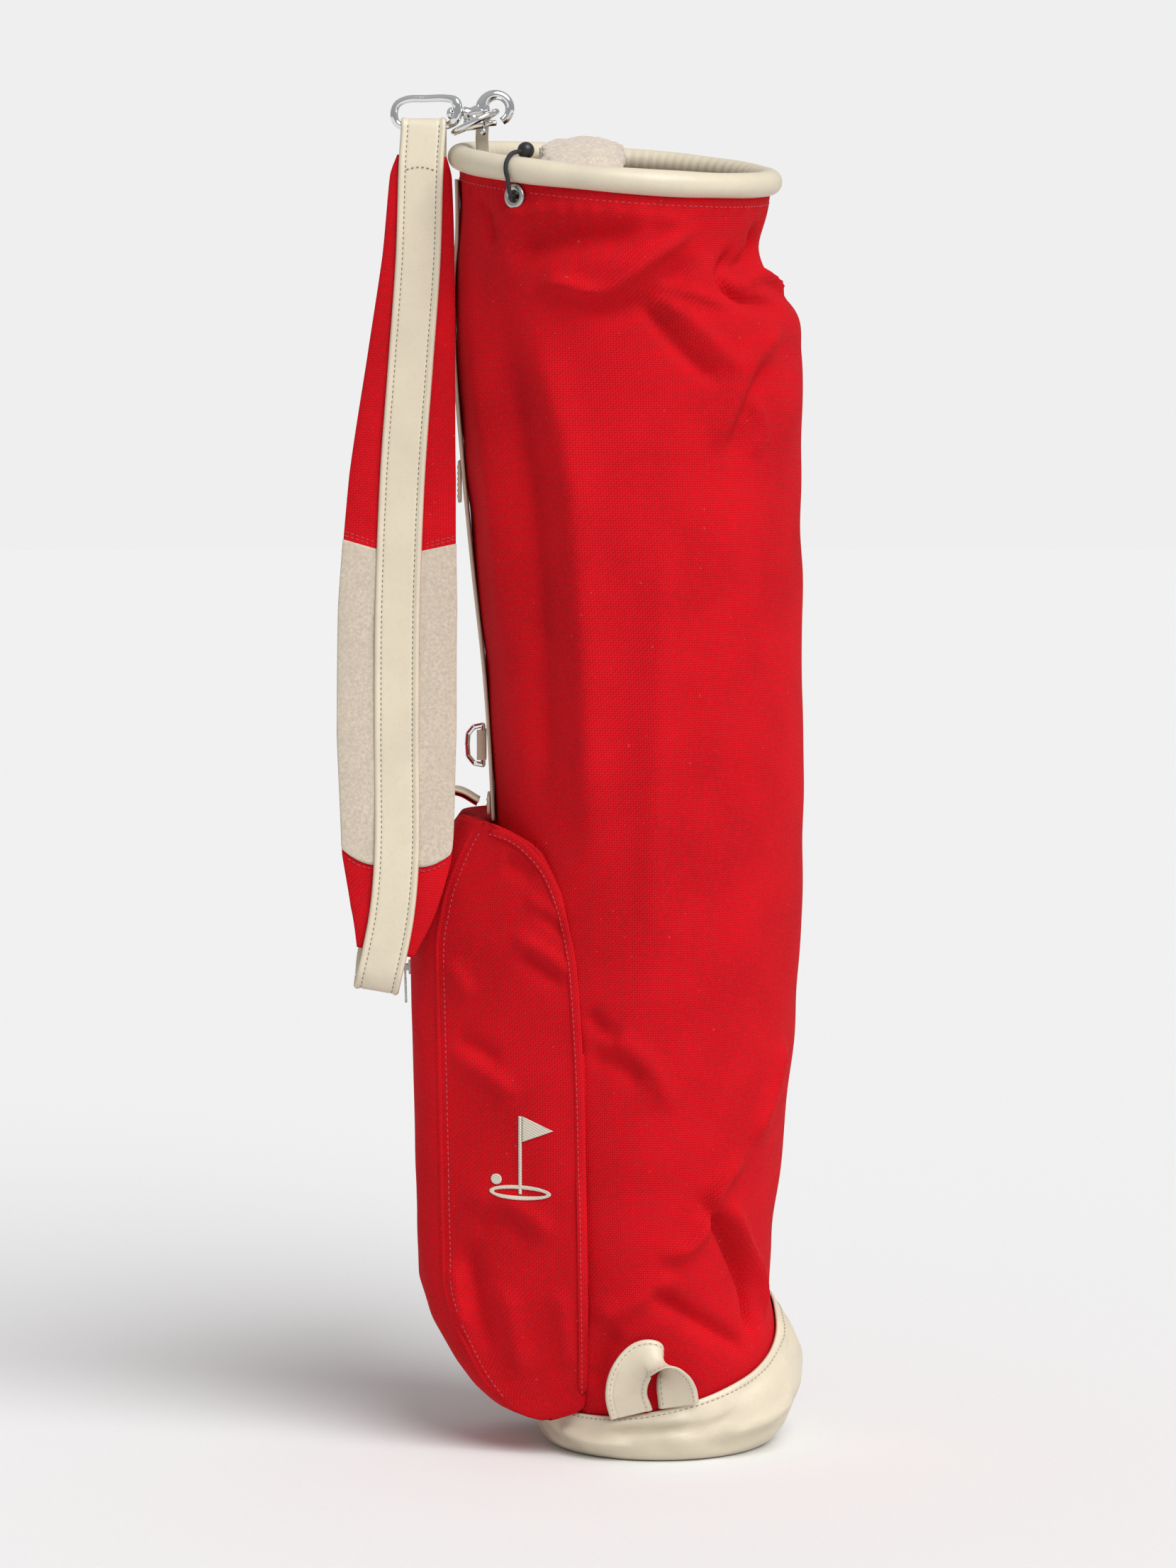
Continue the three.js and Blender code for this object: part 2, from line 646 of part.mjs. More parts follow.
function handlePatch(z) {
  const face = Math.min(handleX(z - 14), handleX(z + 14)) - GAP;
  return block([face - LEATHER, -16, z - 14], [face, 16, z + 14]);
}

const towelX = leftFace(TOWEL.z) - CANVAS / 2 - GAP - LEATHER - 3.4;

function towelRing() {
  const half = TOWEL.height / 2;
  const bow = [1, 0.9, 0.55, 0, -0.55, -0.9, -1].map((s) =>
    V(towelX - TOWEL.reach * Math.sqrt(Math.max(0, 1 - s ** 4)), 0, TOWEL.z + half * s),
  );
  const bar = rod(V(towelX, 0, TOWEL.z - half), V(towelX, 0, TOWEL.z + half), TOWEL.wire, 12);
  return bentRod(bow, TOWEL.wire).add(solid(bar));
}

// Leather folded round the ring's straight bar and sewn to the spine.
function towelTab() {
  const high = TOWEL.z + TOWEL.tab / 2 - 3;
  const low = TOWEL.z - TOWEL.tab / 2 + 3;
  const face = leftFace(TOWEL.z + 14) - CANVAS / 2 - GAP - LEATHER - GAP;
  const outer = rod(V(towelX, 0, low), V(towelX, 0, high), TOWEL.wire + 0.4 + LEATHER, 16);
  const tail = block([towelX, 1.2, low], [face, 1.2 + LEATHER * 1.5, high]);
  const foot = block([face - LEATHER, 1.2, low], [face, 16, high]);
  const bore = rod(V(towelX, 0, low - 4), V(towelX, 0, high + 4), TOWEL.wire + 0.4, 16);
  const mouth = block([towelX, -1.2, low - 4], [towelX + 12, 1.2 + GAP, high + 4]);
  const spare = block([face, -9, low - 1], [face + 12, 20, high + 1]);
  return without(joined(outer, tail, foot), bore, mouth, spare);
}

const bootEdgeY = (x) => {
  const z = GRAB.z;
  const { left, right, depth } = section(z);
  const share = (x - (left + right) / 2) / ((right - left) / 2 + 9);
  return -Math.sqrt(1 - share ** 2) * (depth + 9);
};

function grabLoop() {
  const root = bootEdgeY(GRAB.x) - 2.5;
  const stations = [
    { at: [GRAB.x - 20, root + 0.5, GRAB.z + 16], across: [1, -0.12, 0] },
    { at: [GRAB.x - 19, root - 3.5, GRAB.z + 34], across: [1, -0.4, 0.1] },
    { at: [GRAB.x - 10, root - 10, GRAB.z + 52], across: [0.6, -1, 0.3] },
    { at: [GRAB.x + 3, root - 12, GRAB.z + 56], across: [-0.1, -1, 0.2] },
    { at: [GRAB.x + 15, root - 7, GRAB.z + 40], across: [-0.7, -0.7, 0.1] },
    { at: [GRAB.x + 20, root + 0.5, GRAB.z + 17], across: [-1, -0.1, 0] },
  ].map((s) => ({ ...s, width: GRAB.width }));
  return strip(stations, LEATHER, 0, 4);
}

// ---------- zip ----------

const halfSlot = ZIP.slot / 2;
const halfTeeth = ZIP.teeth / 2;
const zipLean = Math.atan2(ZIP.top[0] - ZIP.bottom[0], ZIP.top[1] - ZIP.bottom[1]);
const zipLength = Math.hypot(ZIP.top[0] - ZIP.bottom[0], ZIP.top[1] - ZIP.bottom[1]);
const SLIDER = { length: 9, width: 8, fromTop: 12, plate: 1.4, lug: 3.2, pin: 0.8, pull: 24 };

// Places a geometry built with z along the zip, y across it and -x out of it.
const onZip = (geometry) => geometry.rotateY(zipLean).translate(ZIP.bottom[0], 0, ZIP.bottom[1]);

function zipTeeth() {
  const low = ZIP.stop + GAP + 1;
  const high = zipLength - ZIP.stop - GAP - 1;
  const pitch = 8;
  const count = Math.floor((high - low) / pitch);
  const bar = onZip(block([-0.3, -halfTeeth + 0.5, low], [0.9, halfTeeth - 0.5, low + count * pitch]));
  const teeth = Array.from({ length: count }, (_, i) =>
    onZip(block([-0.8, -halfTeeth, low + i * pitch + 1], [0.6, halfTeeth, low + i * pitch + 6.6])),
  );
  return joined(bar, ...teeth);
}

const sliderZ = zipLength - ZIP.stop - SLIDER.fromTop;
const sliderFace = -0.8 - GAP;
const pinX = sliderFace - SLIDER.plate - SLIDER.lug + SLIDER.pin;

function zipSlider() {
  const half = SLIDER.length / 2;
  const plate = block(
    [sliderFace - SLIDER.plate, -SLIDER.width / 2, sliderZ - half],
    [sliderFace, SLIDER.width / 2, sliderZ + half],
  );
  const lugs = [-1, 1].map((side) =>
    block(
      [sliderFace - SLIDER.plate - SLIDER.lug, side * 3 - 0.7, sliderZ - 2],
      [sliderFace - 0.5, side * 3 + 0.7, sliderZ + 2],
    ),
  );
  const pin = rod(V(pinX, -3, sliderZ), V(pinX, 3, sliderZ), SLIDER.pin, 10);
  return geometryOf(joined(plate, ...lugs, pin));
}

function zipPull() {
  const eye = rod(V(pinX, -1.8, sliderZ), V(pinX, 1.8, sliderZ), 2.1, 14);
  const blade = block([pinX - 0.7, -1.8, sliderZ - SLIDER.pull], [pinX + 0.7, 1.8, sliderZ - 1]);
  const grip = block([pinX - 0.7, -3, sliderZ - SLIDER.pull], [pinX + 0.7, 3, sliderZ - 8]);
  const bore = rod(V(pinX, -6, sliderZ), V(pinX, 6, sliderZ), SLIDER.pin + 0.35, 12);
  return geometryOf(without(joined(eye, blade, grip), bore));
}

// ---------- divider ----------

const DIVIDER = { x: -45, half: 80, width: 40, thickness: 8, cover: 56 };

function dividerLayer(width, thickness, reach) {
  const stations = [-1, -0.5, 0, 0.5, 1].map((s) => ({
    at: [DIVIDER.x, s * reach, RIM.z + 0.08 * 22 + RIM.fallY * s * reach - 2 + 9 * (1 - s * s)],
    across: X_ACROSS,
    width,
  }));
  return strip(stations, thickness);
}

function dividerCover() {
  const outer = solid(dividerLayer(DIVIDER.cover, 22, DIVIDER.half - 3));
  return outer.subtract(solid(dividerLayer(DIVIDER.width + 2, DIVIDER.thickness + 2, DIVIDER.half + 4)));
}

// ---------- the assembly ----------

const bag = new THREE.Group();

function add(name, geometry, material) {
  const shape = geometry instanceof THREE.BufferGeometry ? geometry : geometryOf(geometry);
  const mesh = new THREE.Mesh(shape, material);
  mesh.name = name;
  bag.add(mesh);
}

const outside = CANVAS / 2;

add("rim_hoop", rimHoop(), springSteel);
add("rim_foam", rimBand(RIM.wire + GAP, 6.4, 2, 8), foam);
add("rim_leather", rimBand(6.8, RIM.roll, 4, 10), creamLeather);
add("tube_canvas", without(solid(tubeWall(-outside, outside, 2.6, 848.5)), eyeletHole()), redCanvas);
add(
  "mouth_lining",
  without(
    solid(tubeWall(LINING.off - CANVAS, LINING.off + 0.4, LINING.low, 846)),
    eyeletHole(),
    rod(
      eyeletAt.clone().addScaledVector(eyeletOut, -12),
      eyeletAt.clone().addScaledVector(eyeletOut, 2),
      EYELET.outer + GAP,
      20,
    ),
  ),
  creamLeather,
);
add("spine_stay", spineStay(), boardStuff);
add("spine_leather", spineLeather(), creamLeather);
add("divider_core", dividerLayer(DIVIDER.width, DIVIDER.thickness, DIVIDER.half), foam);
add("divider_fleece", dividerCover(), fleece);
add("eyelet", eyelet(), nickel);
add("elastic_cord", elasticCord(), black);
add("cord_knot", cordKnot(), black);
add("toggle_ball", ball(toggleAt, EYELET.ball, 16), black);
add("boot_leather", boot(), creamLeather);
add("base_plate", disc(BASE.radius, LEATHER + 0.6, LEATHER + 0.6 + BASE.plate), paintedSteel);
add("base_pad", disc(BASE.radius, LEATHER + 1 + BASE.plate, LEATHER + 1 + BASE.plate + BASE.pad), foam);
add("grab_loop", grabLoop(), creamLeather);
add("pouch_near", pouchPanel(-1.2, -POUCH_SIDE.panel), redCanvas);
add("pouch_far", pouchPanel(POUCH_SIDE.panel, 1.2), redCanvas);
add("pouch_gusset", pouchGusset(), redCanvas);
add("zip_tape_near", zipBar(-halfSlot + GAP, -halfTeeth - GAP, 0.6, 0.4, GAP, GAP), black);
add("zip_tape_far", zipBar(halfTeeth + GAP, halfSlot - GAP, 0.6, 0.4, GAP, GAP), black);
add("zip_teeth", zipTeeth(), black);
add("zip_stop_top", zipBar(-halfTeeth, halfTeeth, 0.6, 1, GAP, zipLength - ZIP.stop), nickel);
add("zip_stop_bottom", zipBar(-halfTeeth, halfTeeth, 0.6, 1, zipLength - ZIP.stop, GAP), nickel);
add("zip_slider", onZip(zipSlider()), nickel);
add("zip_pull", onZip(zipPull()), nickel);
add("ring_tab", ringTab(), creamLeather);
add("top_ring", topRing(), polished);
add("snap_eye", snapEye(), polished);
add("snap_hook", snapHook(), polished);
add("snap_bolt", snapBolt(), polished);
add("strap_leather", strapLeather(), creamLeather);
add("strap_pad_front", padLayer(CANVAS, -LEATHER / 2 - 0.3 - CANVAS / 2), redCanvas);
add("strap_pad_foam", padLayer(1.8, -LEATHER / 2 - 0.6 - CANVAS - 0.9), foam);
add("strap_pad_back", padLayer(CANVAS, -LEATHER / 2 - 0.9 - CANVAS - 1.8 - CANVAS / 2), redCanvas);
add("strap_patch_left", strapPatch(-1), suede);
add("strap_patch_right", strapPatch(1), suede);
const leg = STRAP_LEG.map((s) => ({ ...s, width: STRAP_WIDTH }));
add("strap_leg_leather", strip(leg, LEATHER, 0, 8), creamLeather);
add("strap_leg_canvas", strip(leg.slice(1), CANVAS, -LEATHER / 2 - 1.1 - CANVAS / 2, 8), redCanvas);
add("strap_anchor", strapAnchor(), creamLeather);
add("handle_outer", handleLayer(1.6, 2.2), creamLeather);
add("handle_core", handleLayer(2, 0), foam);
add("handle_inner", handleLayer(1.6, -2.2), creamLeather);
add("handle_patch_top", handlePatch(HANDLE.high + 6), creamLeather);
add("handle_patch_bottom", handlePatch(HANDLE.low - 6), creamLeather);
add("towel_tab", towelTab(), creamLeather);
add("towel_ring", towelRing(), polished);

// The stay lies inside the canvas and its lining, and the leather strip outside.
function spineStay() {
  const heights = heightsBetween(STAY.bottom, STAY.top);
  return strip(
    heights.map((z) => ({ at: [leftFace(z) + 7, 0, z], across: [0, 1, 0], width: STAY.width })),
    STAY.thickness,
    0,
    1,
  );
}

function spineLeather() {
  const heights = heightsBetween(SPINE.bottom, SPINE.top);
  const off = CANVAS / 2 + GAP + LEATHER / 2;
  return strip(
    heights.map((z) => ({ at: [leftFace(z) - off, 0, z], across: [0, 1, 0], width: SPINE.width })),
    LEATHER,
    0,
    1,
  );
}

function strapAnchor() {
  const half = ANCHOR.width / 2;
  return block([ANCHOR.x - LEATHER, -half, ANCHOR.z - 7], [ANCHOR.x, half, ANCHOR.z + 7]);
}

export default bag;
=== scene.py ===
"""Looks for a soft canvas carry bag for golf clubs, built round its CAD frame.

Sizes are in millimetres until they reach a mesh, which is in metres.
"""
import math

import bmesh
import bpy
import numpy as np
from bpy.props import FloatProperty, FloatVectorProperty, PointerProperty
from mathutils import Matrix, Vector
from mathutils.bvhtree import BVHTree


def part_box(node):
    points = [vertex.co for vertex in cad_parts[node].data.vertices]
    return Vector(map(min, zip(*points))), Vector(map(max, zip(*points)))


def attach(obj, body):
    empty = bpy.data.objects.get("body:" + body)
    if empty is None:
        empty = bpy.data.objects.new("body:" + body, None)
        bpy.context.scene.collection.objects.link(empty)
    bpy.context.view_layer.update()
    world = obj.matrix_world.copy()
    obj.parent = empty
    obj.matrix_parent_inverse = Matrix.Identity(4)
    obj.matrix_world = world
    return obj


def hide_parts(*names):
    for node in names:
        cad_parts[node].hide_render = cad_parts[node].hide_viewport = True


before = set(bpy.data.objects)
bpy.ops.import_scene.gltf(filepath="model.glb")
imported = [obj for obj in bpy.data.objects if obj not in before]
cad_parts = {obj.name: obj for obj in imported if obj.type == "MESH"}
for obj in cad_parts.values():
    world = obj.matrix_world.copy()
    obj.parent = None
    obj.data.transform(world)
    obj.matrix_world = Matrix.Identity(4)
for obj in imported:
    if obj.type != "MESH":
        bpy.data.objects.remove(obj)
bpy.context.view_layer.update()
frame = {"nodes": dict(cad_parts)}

bl_info = {
    "name": "Canvas carry bag",
    "version": (1, 0, 0),
    "blender": (4, 5, 0),
    "location": "View3D > Sidebar > Carry bag",
    "description": "Builds the cloth, leather and metal of a soft carry bag for golf clubs",
    "category": "Object",
}

MM = 0.001

# ---------- the frame's shape, in millimetres ----------

CANVAS = 1.2
LEATHER = 2.0

# The tube: height, left, right and half depth.
TUBE = np.array([
    (2.6, -66, 80, 76), (40, -74, 88, 84), (70, -80, 88, 90), (100, -85, 82, 93), (136, -89, 83, 96),
    (190, -93, 89, 99), (267, -97, 97, 101), (340, -100, 102, 102), (416, -102, 103.5, 103),
    (520, -108, 103, 101), (600, -116.5, 102, 98), (670, -123, 101.5, 95), (740, -128, 101.5, 94),
    (770, -128.5, 98, 96), (790, -128, 82, 99), (812, -126, 72, 101), (836, -125.7, 77, 102.7),
    (848.5, -126, 80, 103),
])
TUBE_LOW, TUBE_HIGH = TUBE[0, 0], TUBE[-1, 0]
RIM = {"x": -23, "z": 859.2, "radius": 103, "roll": 9, "fall_x": 0.08, "fall_y": 0.093}
BOOT = {"top": 60, "rise_x": 0.22, "rise_y": 0.27, "x": 7, "steps": 60, "bulge": 9}

# The pouch's outline from the side, as front and back lines: height, x.
POUCH_FRONT = np.array([
    (25, -74), (27.5, -90), (32, -104), (44, -118), (60, -130), (88, -146), (114, -154.5), (346, -160),
    (380, -152), (410, -138), (427, -126),
])
POUCH_BACK = np.array([
    (25, -74), (33, -43), (257, -43), (330, -48), (378, -60), (410, -80), (420, -102), (427, -126),
])
ZIP = {"top": (-160, 340), "bottom": (-154.6, 118), "slot": 13, "stop": 5}

# The strap: middle line and pad width down its front, then the fold at its foot and the leg behind.
STRAP_TOP = [(-150.1, -18.3, 886), (-151.2, -22, 868)]
STRAP_PAD = [
    (-151.8, -24, 855, 41), (-153.5, -29, 800, 48), (-158.5, -34.5, 730, 59), (-164, -40, 655, 71),
    (-167.3, -46.5, 570, 78.5), (-168, -53, 485, 79), (-168, -59, 404, 73), (-171, -62, 367, 56),
    (-176, -63, 340, 38),
]
STRAP_FOLD = [(-180, -62, 323), (-182, -56.5, 314.5), (-181.5, -50, 322)]
STRAP_LEG = [
    ((-181.3, -49.2, 322.9), (1, 0.05, 0)), ((-180.6, -46.5, 332), (1, 0.12, 0)),
    ((-176, -35, 362), (1, 0.42, 0)), ((-171.5, -21, 393), (0.85, 0.85, -0.1)),
    ((-162, -8, 424), (0.45, 1, -0.2)), ((-146, -1, 442), (0.15, 1, -0.1)),
    ((-128, 0, 443), (0, 1, 0)), ((-114.5, 0, 436), (0, 1, 0)),
]
STRAP_WIDTH = 30
SUEDE_HIGH, SUEDE_LOW = 612, 398

HOOK_Y, SHANK_Z = -14, 895.5
EYE_BAR_Z, EYE_LEFT, COLLAR_X = 887, -165.3, -127.8
CATCH = {"x": -102, "z": 898.5, "radius": 9.2}
BOLT = ((-119.5, 887.4), (-101.9, 889.3))
RING = {"tip": (-101.8, 896.6), "radius": 15.6, "wire": 2.1, "slope": math.radians(26), "held": 5}
HANDLE = {"low": 657, "high": 800, "rise": 13, "root": 8, "width": 26, "end": 8}
EYELET = {"x": -87.5, "z": 839.2, "inner": 4, "outer": 8.2, "cord": 1.5, "ball": 5.6}
# The grab loop: its middle line from the near leg over the fold to the far one, its side, and its width.
GRAB_LOOP = [
    ((-12, -87.5, 34), (1, 0, 0.08), 29),
    ((-15.5, -92.5, 48), (1, 0, 0), 28),
    ((-13, -97, 62), (0.85, -0.1, -0.5), 27),
    ((-4, -100.5, 73.5), (0.55, -0.45, -0.75), 26),
    ((7, -102, 73), (0.62, -0.5, -0.6), 26),
    ((15, -99.5, 64), (0.8, -0.4, -0.4), 26.5),
    ((18, -93.5, 51), (1, -0.1, 0), 27),
    ((19.5, -88.5, 40), (1, 0, 0.2), 27),
]
GRAB_WIDTH = 27


# ---------- settings ----------


def linear(code):
    """A colour written as six hex digits, as linear values."""
    return [((c / 255 + 0.055) / 1.055) ** 2.4 for c in bytes.fromhex(code)]


class BagColours(bpy.types.PropertyGroup):
    """The finishes' colours, as linear values."""

    def shade(name, text, code):
        return FloatVectorProperty(
            name=name, description=text, subtype="COLOR", size=3, min=0, max=1, default=linear(code)
        )

    canvas: shade("Canvas", "Face of the red canvas", "D4101D")
    # Darker canvas for random patches; dimmed further, it is also the painted shade in the weave's pits.
    canvas_deep: shade("Canvas shade", "Worn and shaded canvas", "AC0A14")
    leather: shade("Leather", "Cream leather of the rim, boot and strap", "D9CEB7")
    suede: shade("Suede", "Patches on the shoulder pad", "CCBEAC")
    fleece: shade("Fleece", "Cover of the divider", "DCCBB8")
    red_thread: shade("Red thread", "Stitches on the canvas", "C23A44")
    olive_thread: shade("Olive thread", "Stitches on the strap", "6E6A50")
    boot_thread: shade("Boot thread", "Stitches on the boot and the grab loop", "A99E86")
    cream_thread: shade("Cream thread", "Stitches on the motif", "E0D7C5")


class BagSizes(bpy.types.PropertyGroup):
    """The sizes that a maker would change, in metres."""

    def length(name, text, value):
        return FloatProperty(name=name, description=text, subtype="DISTANCE", unit="LENGTH", default=value)

    weave: length("Thread spacing", "Spacing of the canvas's threads", 0.0016)
    grain: length("Leather grain", "Width of a pebble of the leather's grain", 0.0014)
    stitch: length("Stitch pitch", "From one stitch to the next", 0.0038)
    motif: length("Motif size", "Width of the embroidered motif", 0.057)
    folds: FloatProperty(name="Folds", description="Depth of the canvas's folds", default=2.0, min=0, max=4)


# ---------- curves and surfaces ----------


def smoothstep(x, low, high):
    t = np.clip((x - low) / (high - low), 0, 1)
    return t * t * (3 - 2 * t)


def through(knots, values, x):
    """A smooth curve through the values at the knots, read at x."""
    slopes = np.gradient(values, knots)
    i = np.clip(np.searchsorted(knots, x, side="right") - 1, 0, len(knots) - 2)
    span = knots[i + 1] - knots[i]
    t = np.clip((x - knots[i]) / span, 0, 1)
    start = (1 + 2 * t) * (1 - t) ** 2 * values[i] + t * (1 - t) ** 2 * span * slopes[i]
    return start + t * t * (3 - 2 * t) * values[i + 1] + t * t * (t - 1) * span * slopes[i + 1]


def route(points, count, closed=False):
    """Evenly spaced points of a smooth curve, and each one's place among the points it goes through."""
    points = np.asarray(points, float)
    wrap = 3 if closed else 0
    if closed:
        points = np.vstack([points[-wrap:], points, points[: wrap + 1]])
    knots = np.concatenate([[0], np.cumsum(np.sqrt(np.linalg.norm(np.diff(points, axis=0), axis=1)))])
    first, last = wrap, len(points) - 1 - wrap
    fine = np.linspace(knots[first], knots[last], 60 * (last - first))
    dense = np.stack([through(knots, points[:, k], fine) for k in range(3)], -1)
    arc = np.concatenate([[0], np.cumsum(np.linalg.norm(np.diff(dense, axis=0), axis=1))])
    share = np.linspace(0, arc[-1], count + 1 if closed else count)[:count]
    spots = np.stack([np.interp(share, arc, dense[:, k]) for k in range(3)], -1)
    stations = np.interp(np.interp(share, arc, fine), knots, np.arange(len(knots))) - wrap
    return spots, stations


def unit(v):
    v = np.asarray(v, float)
    return v / np.maximum(np.linalg.norm(v, axis=-1, keepdims=True), 1e-12)


def tangents(path, closed=False):
    if closed:
        return unit(np.roll(path, -1, 0) - np.roll(path, 1, 0))
    return unit(np.gradient(path, axis=0))


def lattice(columns, rows, place, wraps=(False, False)):
    """A bmesh grid whose corners go where place(column, row) says, with a UV map in metres."""
    bm = bmesh.new()
    bmesh.ops.create_grid(bm, x_segments=columns, y_segments=rows, size=0.5)
    i, j = np.meshgrid(np.arange(columns + 1), np.arange(rows + 1))
    spots = place(i, j) * MM
    across = np.concatenate([[0], np.cumsum(np.linalg.norm(np.diff(spots, axis=1), axis=-1).mean(0))])
    along = np.concatenate([[0], np.cumsum(np.linalg.norm(np.diff(spots, axis=0), axis=-1).mean(1))])
    cloth = bm.loops.layers.uv.new("Cloth")
    flat = []
    for v in bm.verts:
        column, row = round((v.co.x + 0.5) * columns), round((v.co.y + 0.5) * rows)
        v.co = spots[row, column]
        flat.append((across[column], along[row]))
    for face in bm.faces:
        for loop in face.loops:
            loop[cloth].uv = flat[loop.vert.index]
    if any(wraps):
        bmesh.ops.remove_doubles(bm, verts=bm.verts, dist=1e-6)
    return bm


def sweep(path, section, across=None, closed=False):
    """Carries a closed section of (side, height) pairs along a path. across gives the side's direction."""
    path = np.asarray(path, float)
    n = len(path)
    section = np.asarray(section, float)
    section = np.broadcast_to(section, (n, *section.shape[-2:]))
    m = section.shape[1]
    along = tangents(path, closed)
    if across is None:
        across = carried(along)
    across = np.broadcast_to(np.asarray(across, float), (n, 3))
    side = unit(across - along * (across * along).sum(1, keepdims=True))
    out = np.cross(along, side)

    def place(i, j):
        i, j = i % m, j % n
        return path[j] + side[j] * section[j, i, :1] + out[j] * section[j, i, 1:]

    bm = lattice(m, n if closed else n - 1, place, (True, closed))
    if not closed:
        close_holes(bm)
    bmesh.ops.recalc_face_normals(bm, faces=bm.faces)
    return bm


def carried(along):
    """A side direction carried along a path without twist."""
    start = (1, 0, 0) if abs(along[0][0]) < 0.8 else (0, 1, 0)
    sides = [unit(np.cross(along[0], start))]
    for t in along[1:]:
        last = sides[-1]
        sides.append(unit(last - t * last.dot(t)))
    return np.array(sides)


def close_holes(bm):
    rim = [e for e in bm.edges if len(e.link_faces) == 1]
    bmesh.ops.holes_fill(bm, edges=rim, sides=0)


def circle(radius, count=16):
    a = np.linspace(0, 2 * math.pi, count, endpoint=False)
    return np.stack([radius * np.cos(a), radius * np.sin(a)], -1)


def lathe(profile, origin, axis, steps=40):
    """Spins a profile of (radius, height) pairs, in millimetres, about an axis through origin."""
    bm = bmesh.new()
    verts = [bm.verts.new((r * MM, 0, h * MM)) for r, h in profile]
    edges = [bm.edges.new(pair) for pair in zip(verts, verts[1:])]
    bmesh.ops.spin(
        bm, geom=verts + edges, axis=(0, 0, 1), cent=(0, 0, 0), angle=2 * math.pi, steps=steps, use_merge=True
    )
    bmesh.ops.remove_doubles(bm, verts=bm.verts, dist=1e-6)
    bmesh.ops.recalc_face_normals(bm, faces=bm.faces)
    turn = Vector((0, 0, 1)).rotation_difference(Vector(axis)).to_matrix().to_4x4()
    bmesh.ops.transform(bm, matrix=Matrix.Translation(Vector(origin) * MM) @ turn, verts=bm.verts)
    return bm


def together(*parts):
    """Several bmeshes as one."""
    whole = bmesh.new()
    whole.loops.layers.uv.new("Cloth")
    for part in parts:
        mesh = bpy.data.meshes.new("part")
        part.to_mesh(mesh)
        part.free()
        whole.from_mesh(mesh)
        bpy.data.meshes.remove(mesh)
    return whole


# ---------- pieces ----------


def piece(name, bm, body, finish, stands_for=(), thickness=0.0):
    """Makes an object of a bmesh, rides it on its body and lets it stand for CAD nodes."""
    mesh = bpy.data.meshes.new(name)
    bm.to_mesh(mesh)
    bm.free()
    mesh.polygons.foreach_set("use_smooth", [True] * len(mesh.polygons))
    mesh.materials.append(finish)
    obj = bpy.data.objects.new(name, mesh)
    bpy.context.scene.collection.objects.link(obj)
    if thickness:
        wall = obj.modifiers.new("Wall", "SOLIDIFY")
        wall.thickness = abs(thickness) * MM
        wall.offset = -1 if thickness > 0 else 1
    if stands_for:
        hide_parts(*stands_for)
    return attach(obj, body)


def on_surface(obj, points, towards):
    """Where rays along a direction meet a piece: the places and the outward directions, in millimetres."""
    tree = BVHTree.FromObject(obj, bpy.context.evaluated_depsgraph_get())
    towards = Vector(towards).normalized()
    spots, outward = [], []
    for p in points:
        spot, normal, _, _ = tree.ray_cast(Vector(p) * MM - towards * 0.3, towards)
        if spot is None:
            spot, normal, _, _ = tree.find_nearest(Vector(p) * MM)
        spots.append(spot / MM)
        outward.append(-normal if normal.dot(towards) > 0 else normal)
    return np.array(spots), np.array(outward)


def stitches(name, path, outward, body, finish, pitch=None, width=0.8):
    """A run of thread along a path, one bead for each stitch, half sunk in the surface."""
    pitch = pitch or settings().stitch / MM
    arc = np.concatenate([[0], np.cumsum(np.linalg.norm(np.diff(path, axis=0), axis=1))])
    at = np.arange(pitch / 2, arc[-1], pitch)
    spots = np.stack([np.interp(at, arc, path[:, k]) for k in range(3)], -1)
    normals = unit(np.stack([np.interp(at, arc, outward[:, k]) for k in range(3)], -1))
    along = tangents(spots)
    bm = bmesh.new()
    for p, t, n in zip(spots, along, normals):
        side = unit(np.cross(n, t))
        n = np.cross(t, side)
        shape = np.eye(4)
        shape[:3, 0] = side * width / 2 * MM
        shape[:3, 1] = n * width * 0.42 * MM
        shape[:3, 2] = t * pitch * 0.32 * MM
        shape[:3, 3] = (p + n * 0.15) * MM
        bmesh.ops.create_uvsphere(bm, u_segments=6, v_segments=5, radius=1, matrix=Matrix(shape))
    return piece(name, bm, body, finish)


def welt(name, path, outward, width, height, body, finish):
    """A folded edge of cloth that lies on a surface along a path."""
    t = np.linspace(0, 2 * math.pi, 20, endpoint=False)
    section = np.stack([np.sign(np.cos(t)) * np.abs(np.cos(t)) ** 0.6 * width / 2,
                        np.sin(t) * height * np.where(np.sin(t) > 0, 1, 0.3)], -1)
    ends = np.minimum(1, np.minimum(np.arange(len(path)), np.arange(len(path))[::-1]) / 3 + 0.35)
    across = -np.cross(tangents(path), outward)
    return piece(name, sweep(path, section * ends[:, None, None], across), body, finish)


# ---------- the tube's surface ----------


def tube_section(z):
    return [through(TUBE[:, 0], TUBE[:, k], np.clip(z, TUBE_LOW, TUBE_HIGH)) for k in (1, 2, 3)]


def tube_base(angle, z, off=0.0):
    left, right, depth = tube_section(z)
    x = (left + right) / 2 + np.cos(angle) * ((right - left) / 2 + off)
    y = np.sin(angle) * (depth + off)
    lift = smoothstep(z, 690, 836) * (RIM["fall_y"] * y - RIM["fall_x"] * (x - RIM["x"]))
    return np.stack([x, y, z + lift], -1)


def tube_angle(x, z, near=True):
    left, right, _ = tube_section(np.asarray(z, float))
    angle = np.arccos(np.clip((x - (left + right) / 2) / ((right - left) / 2), -1, 1))
    return -angle if near else angle


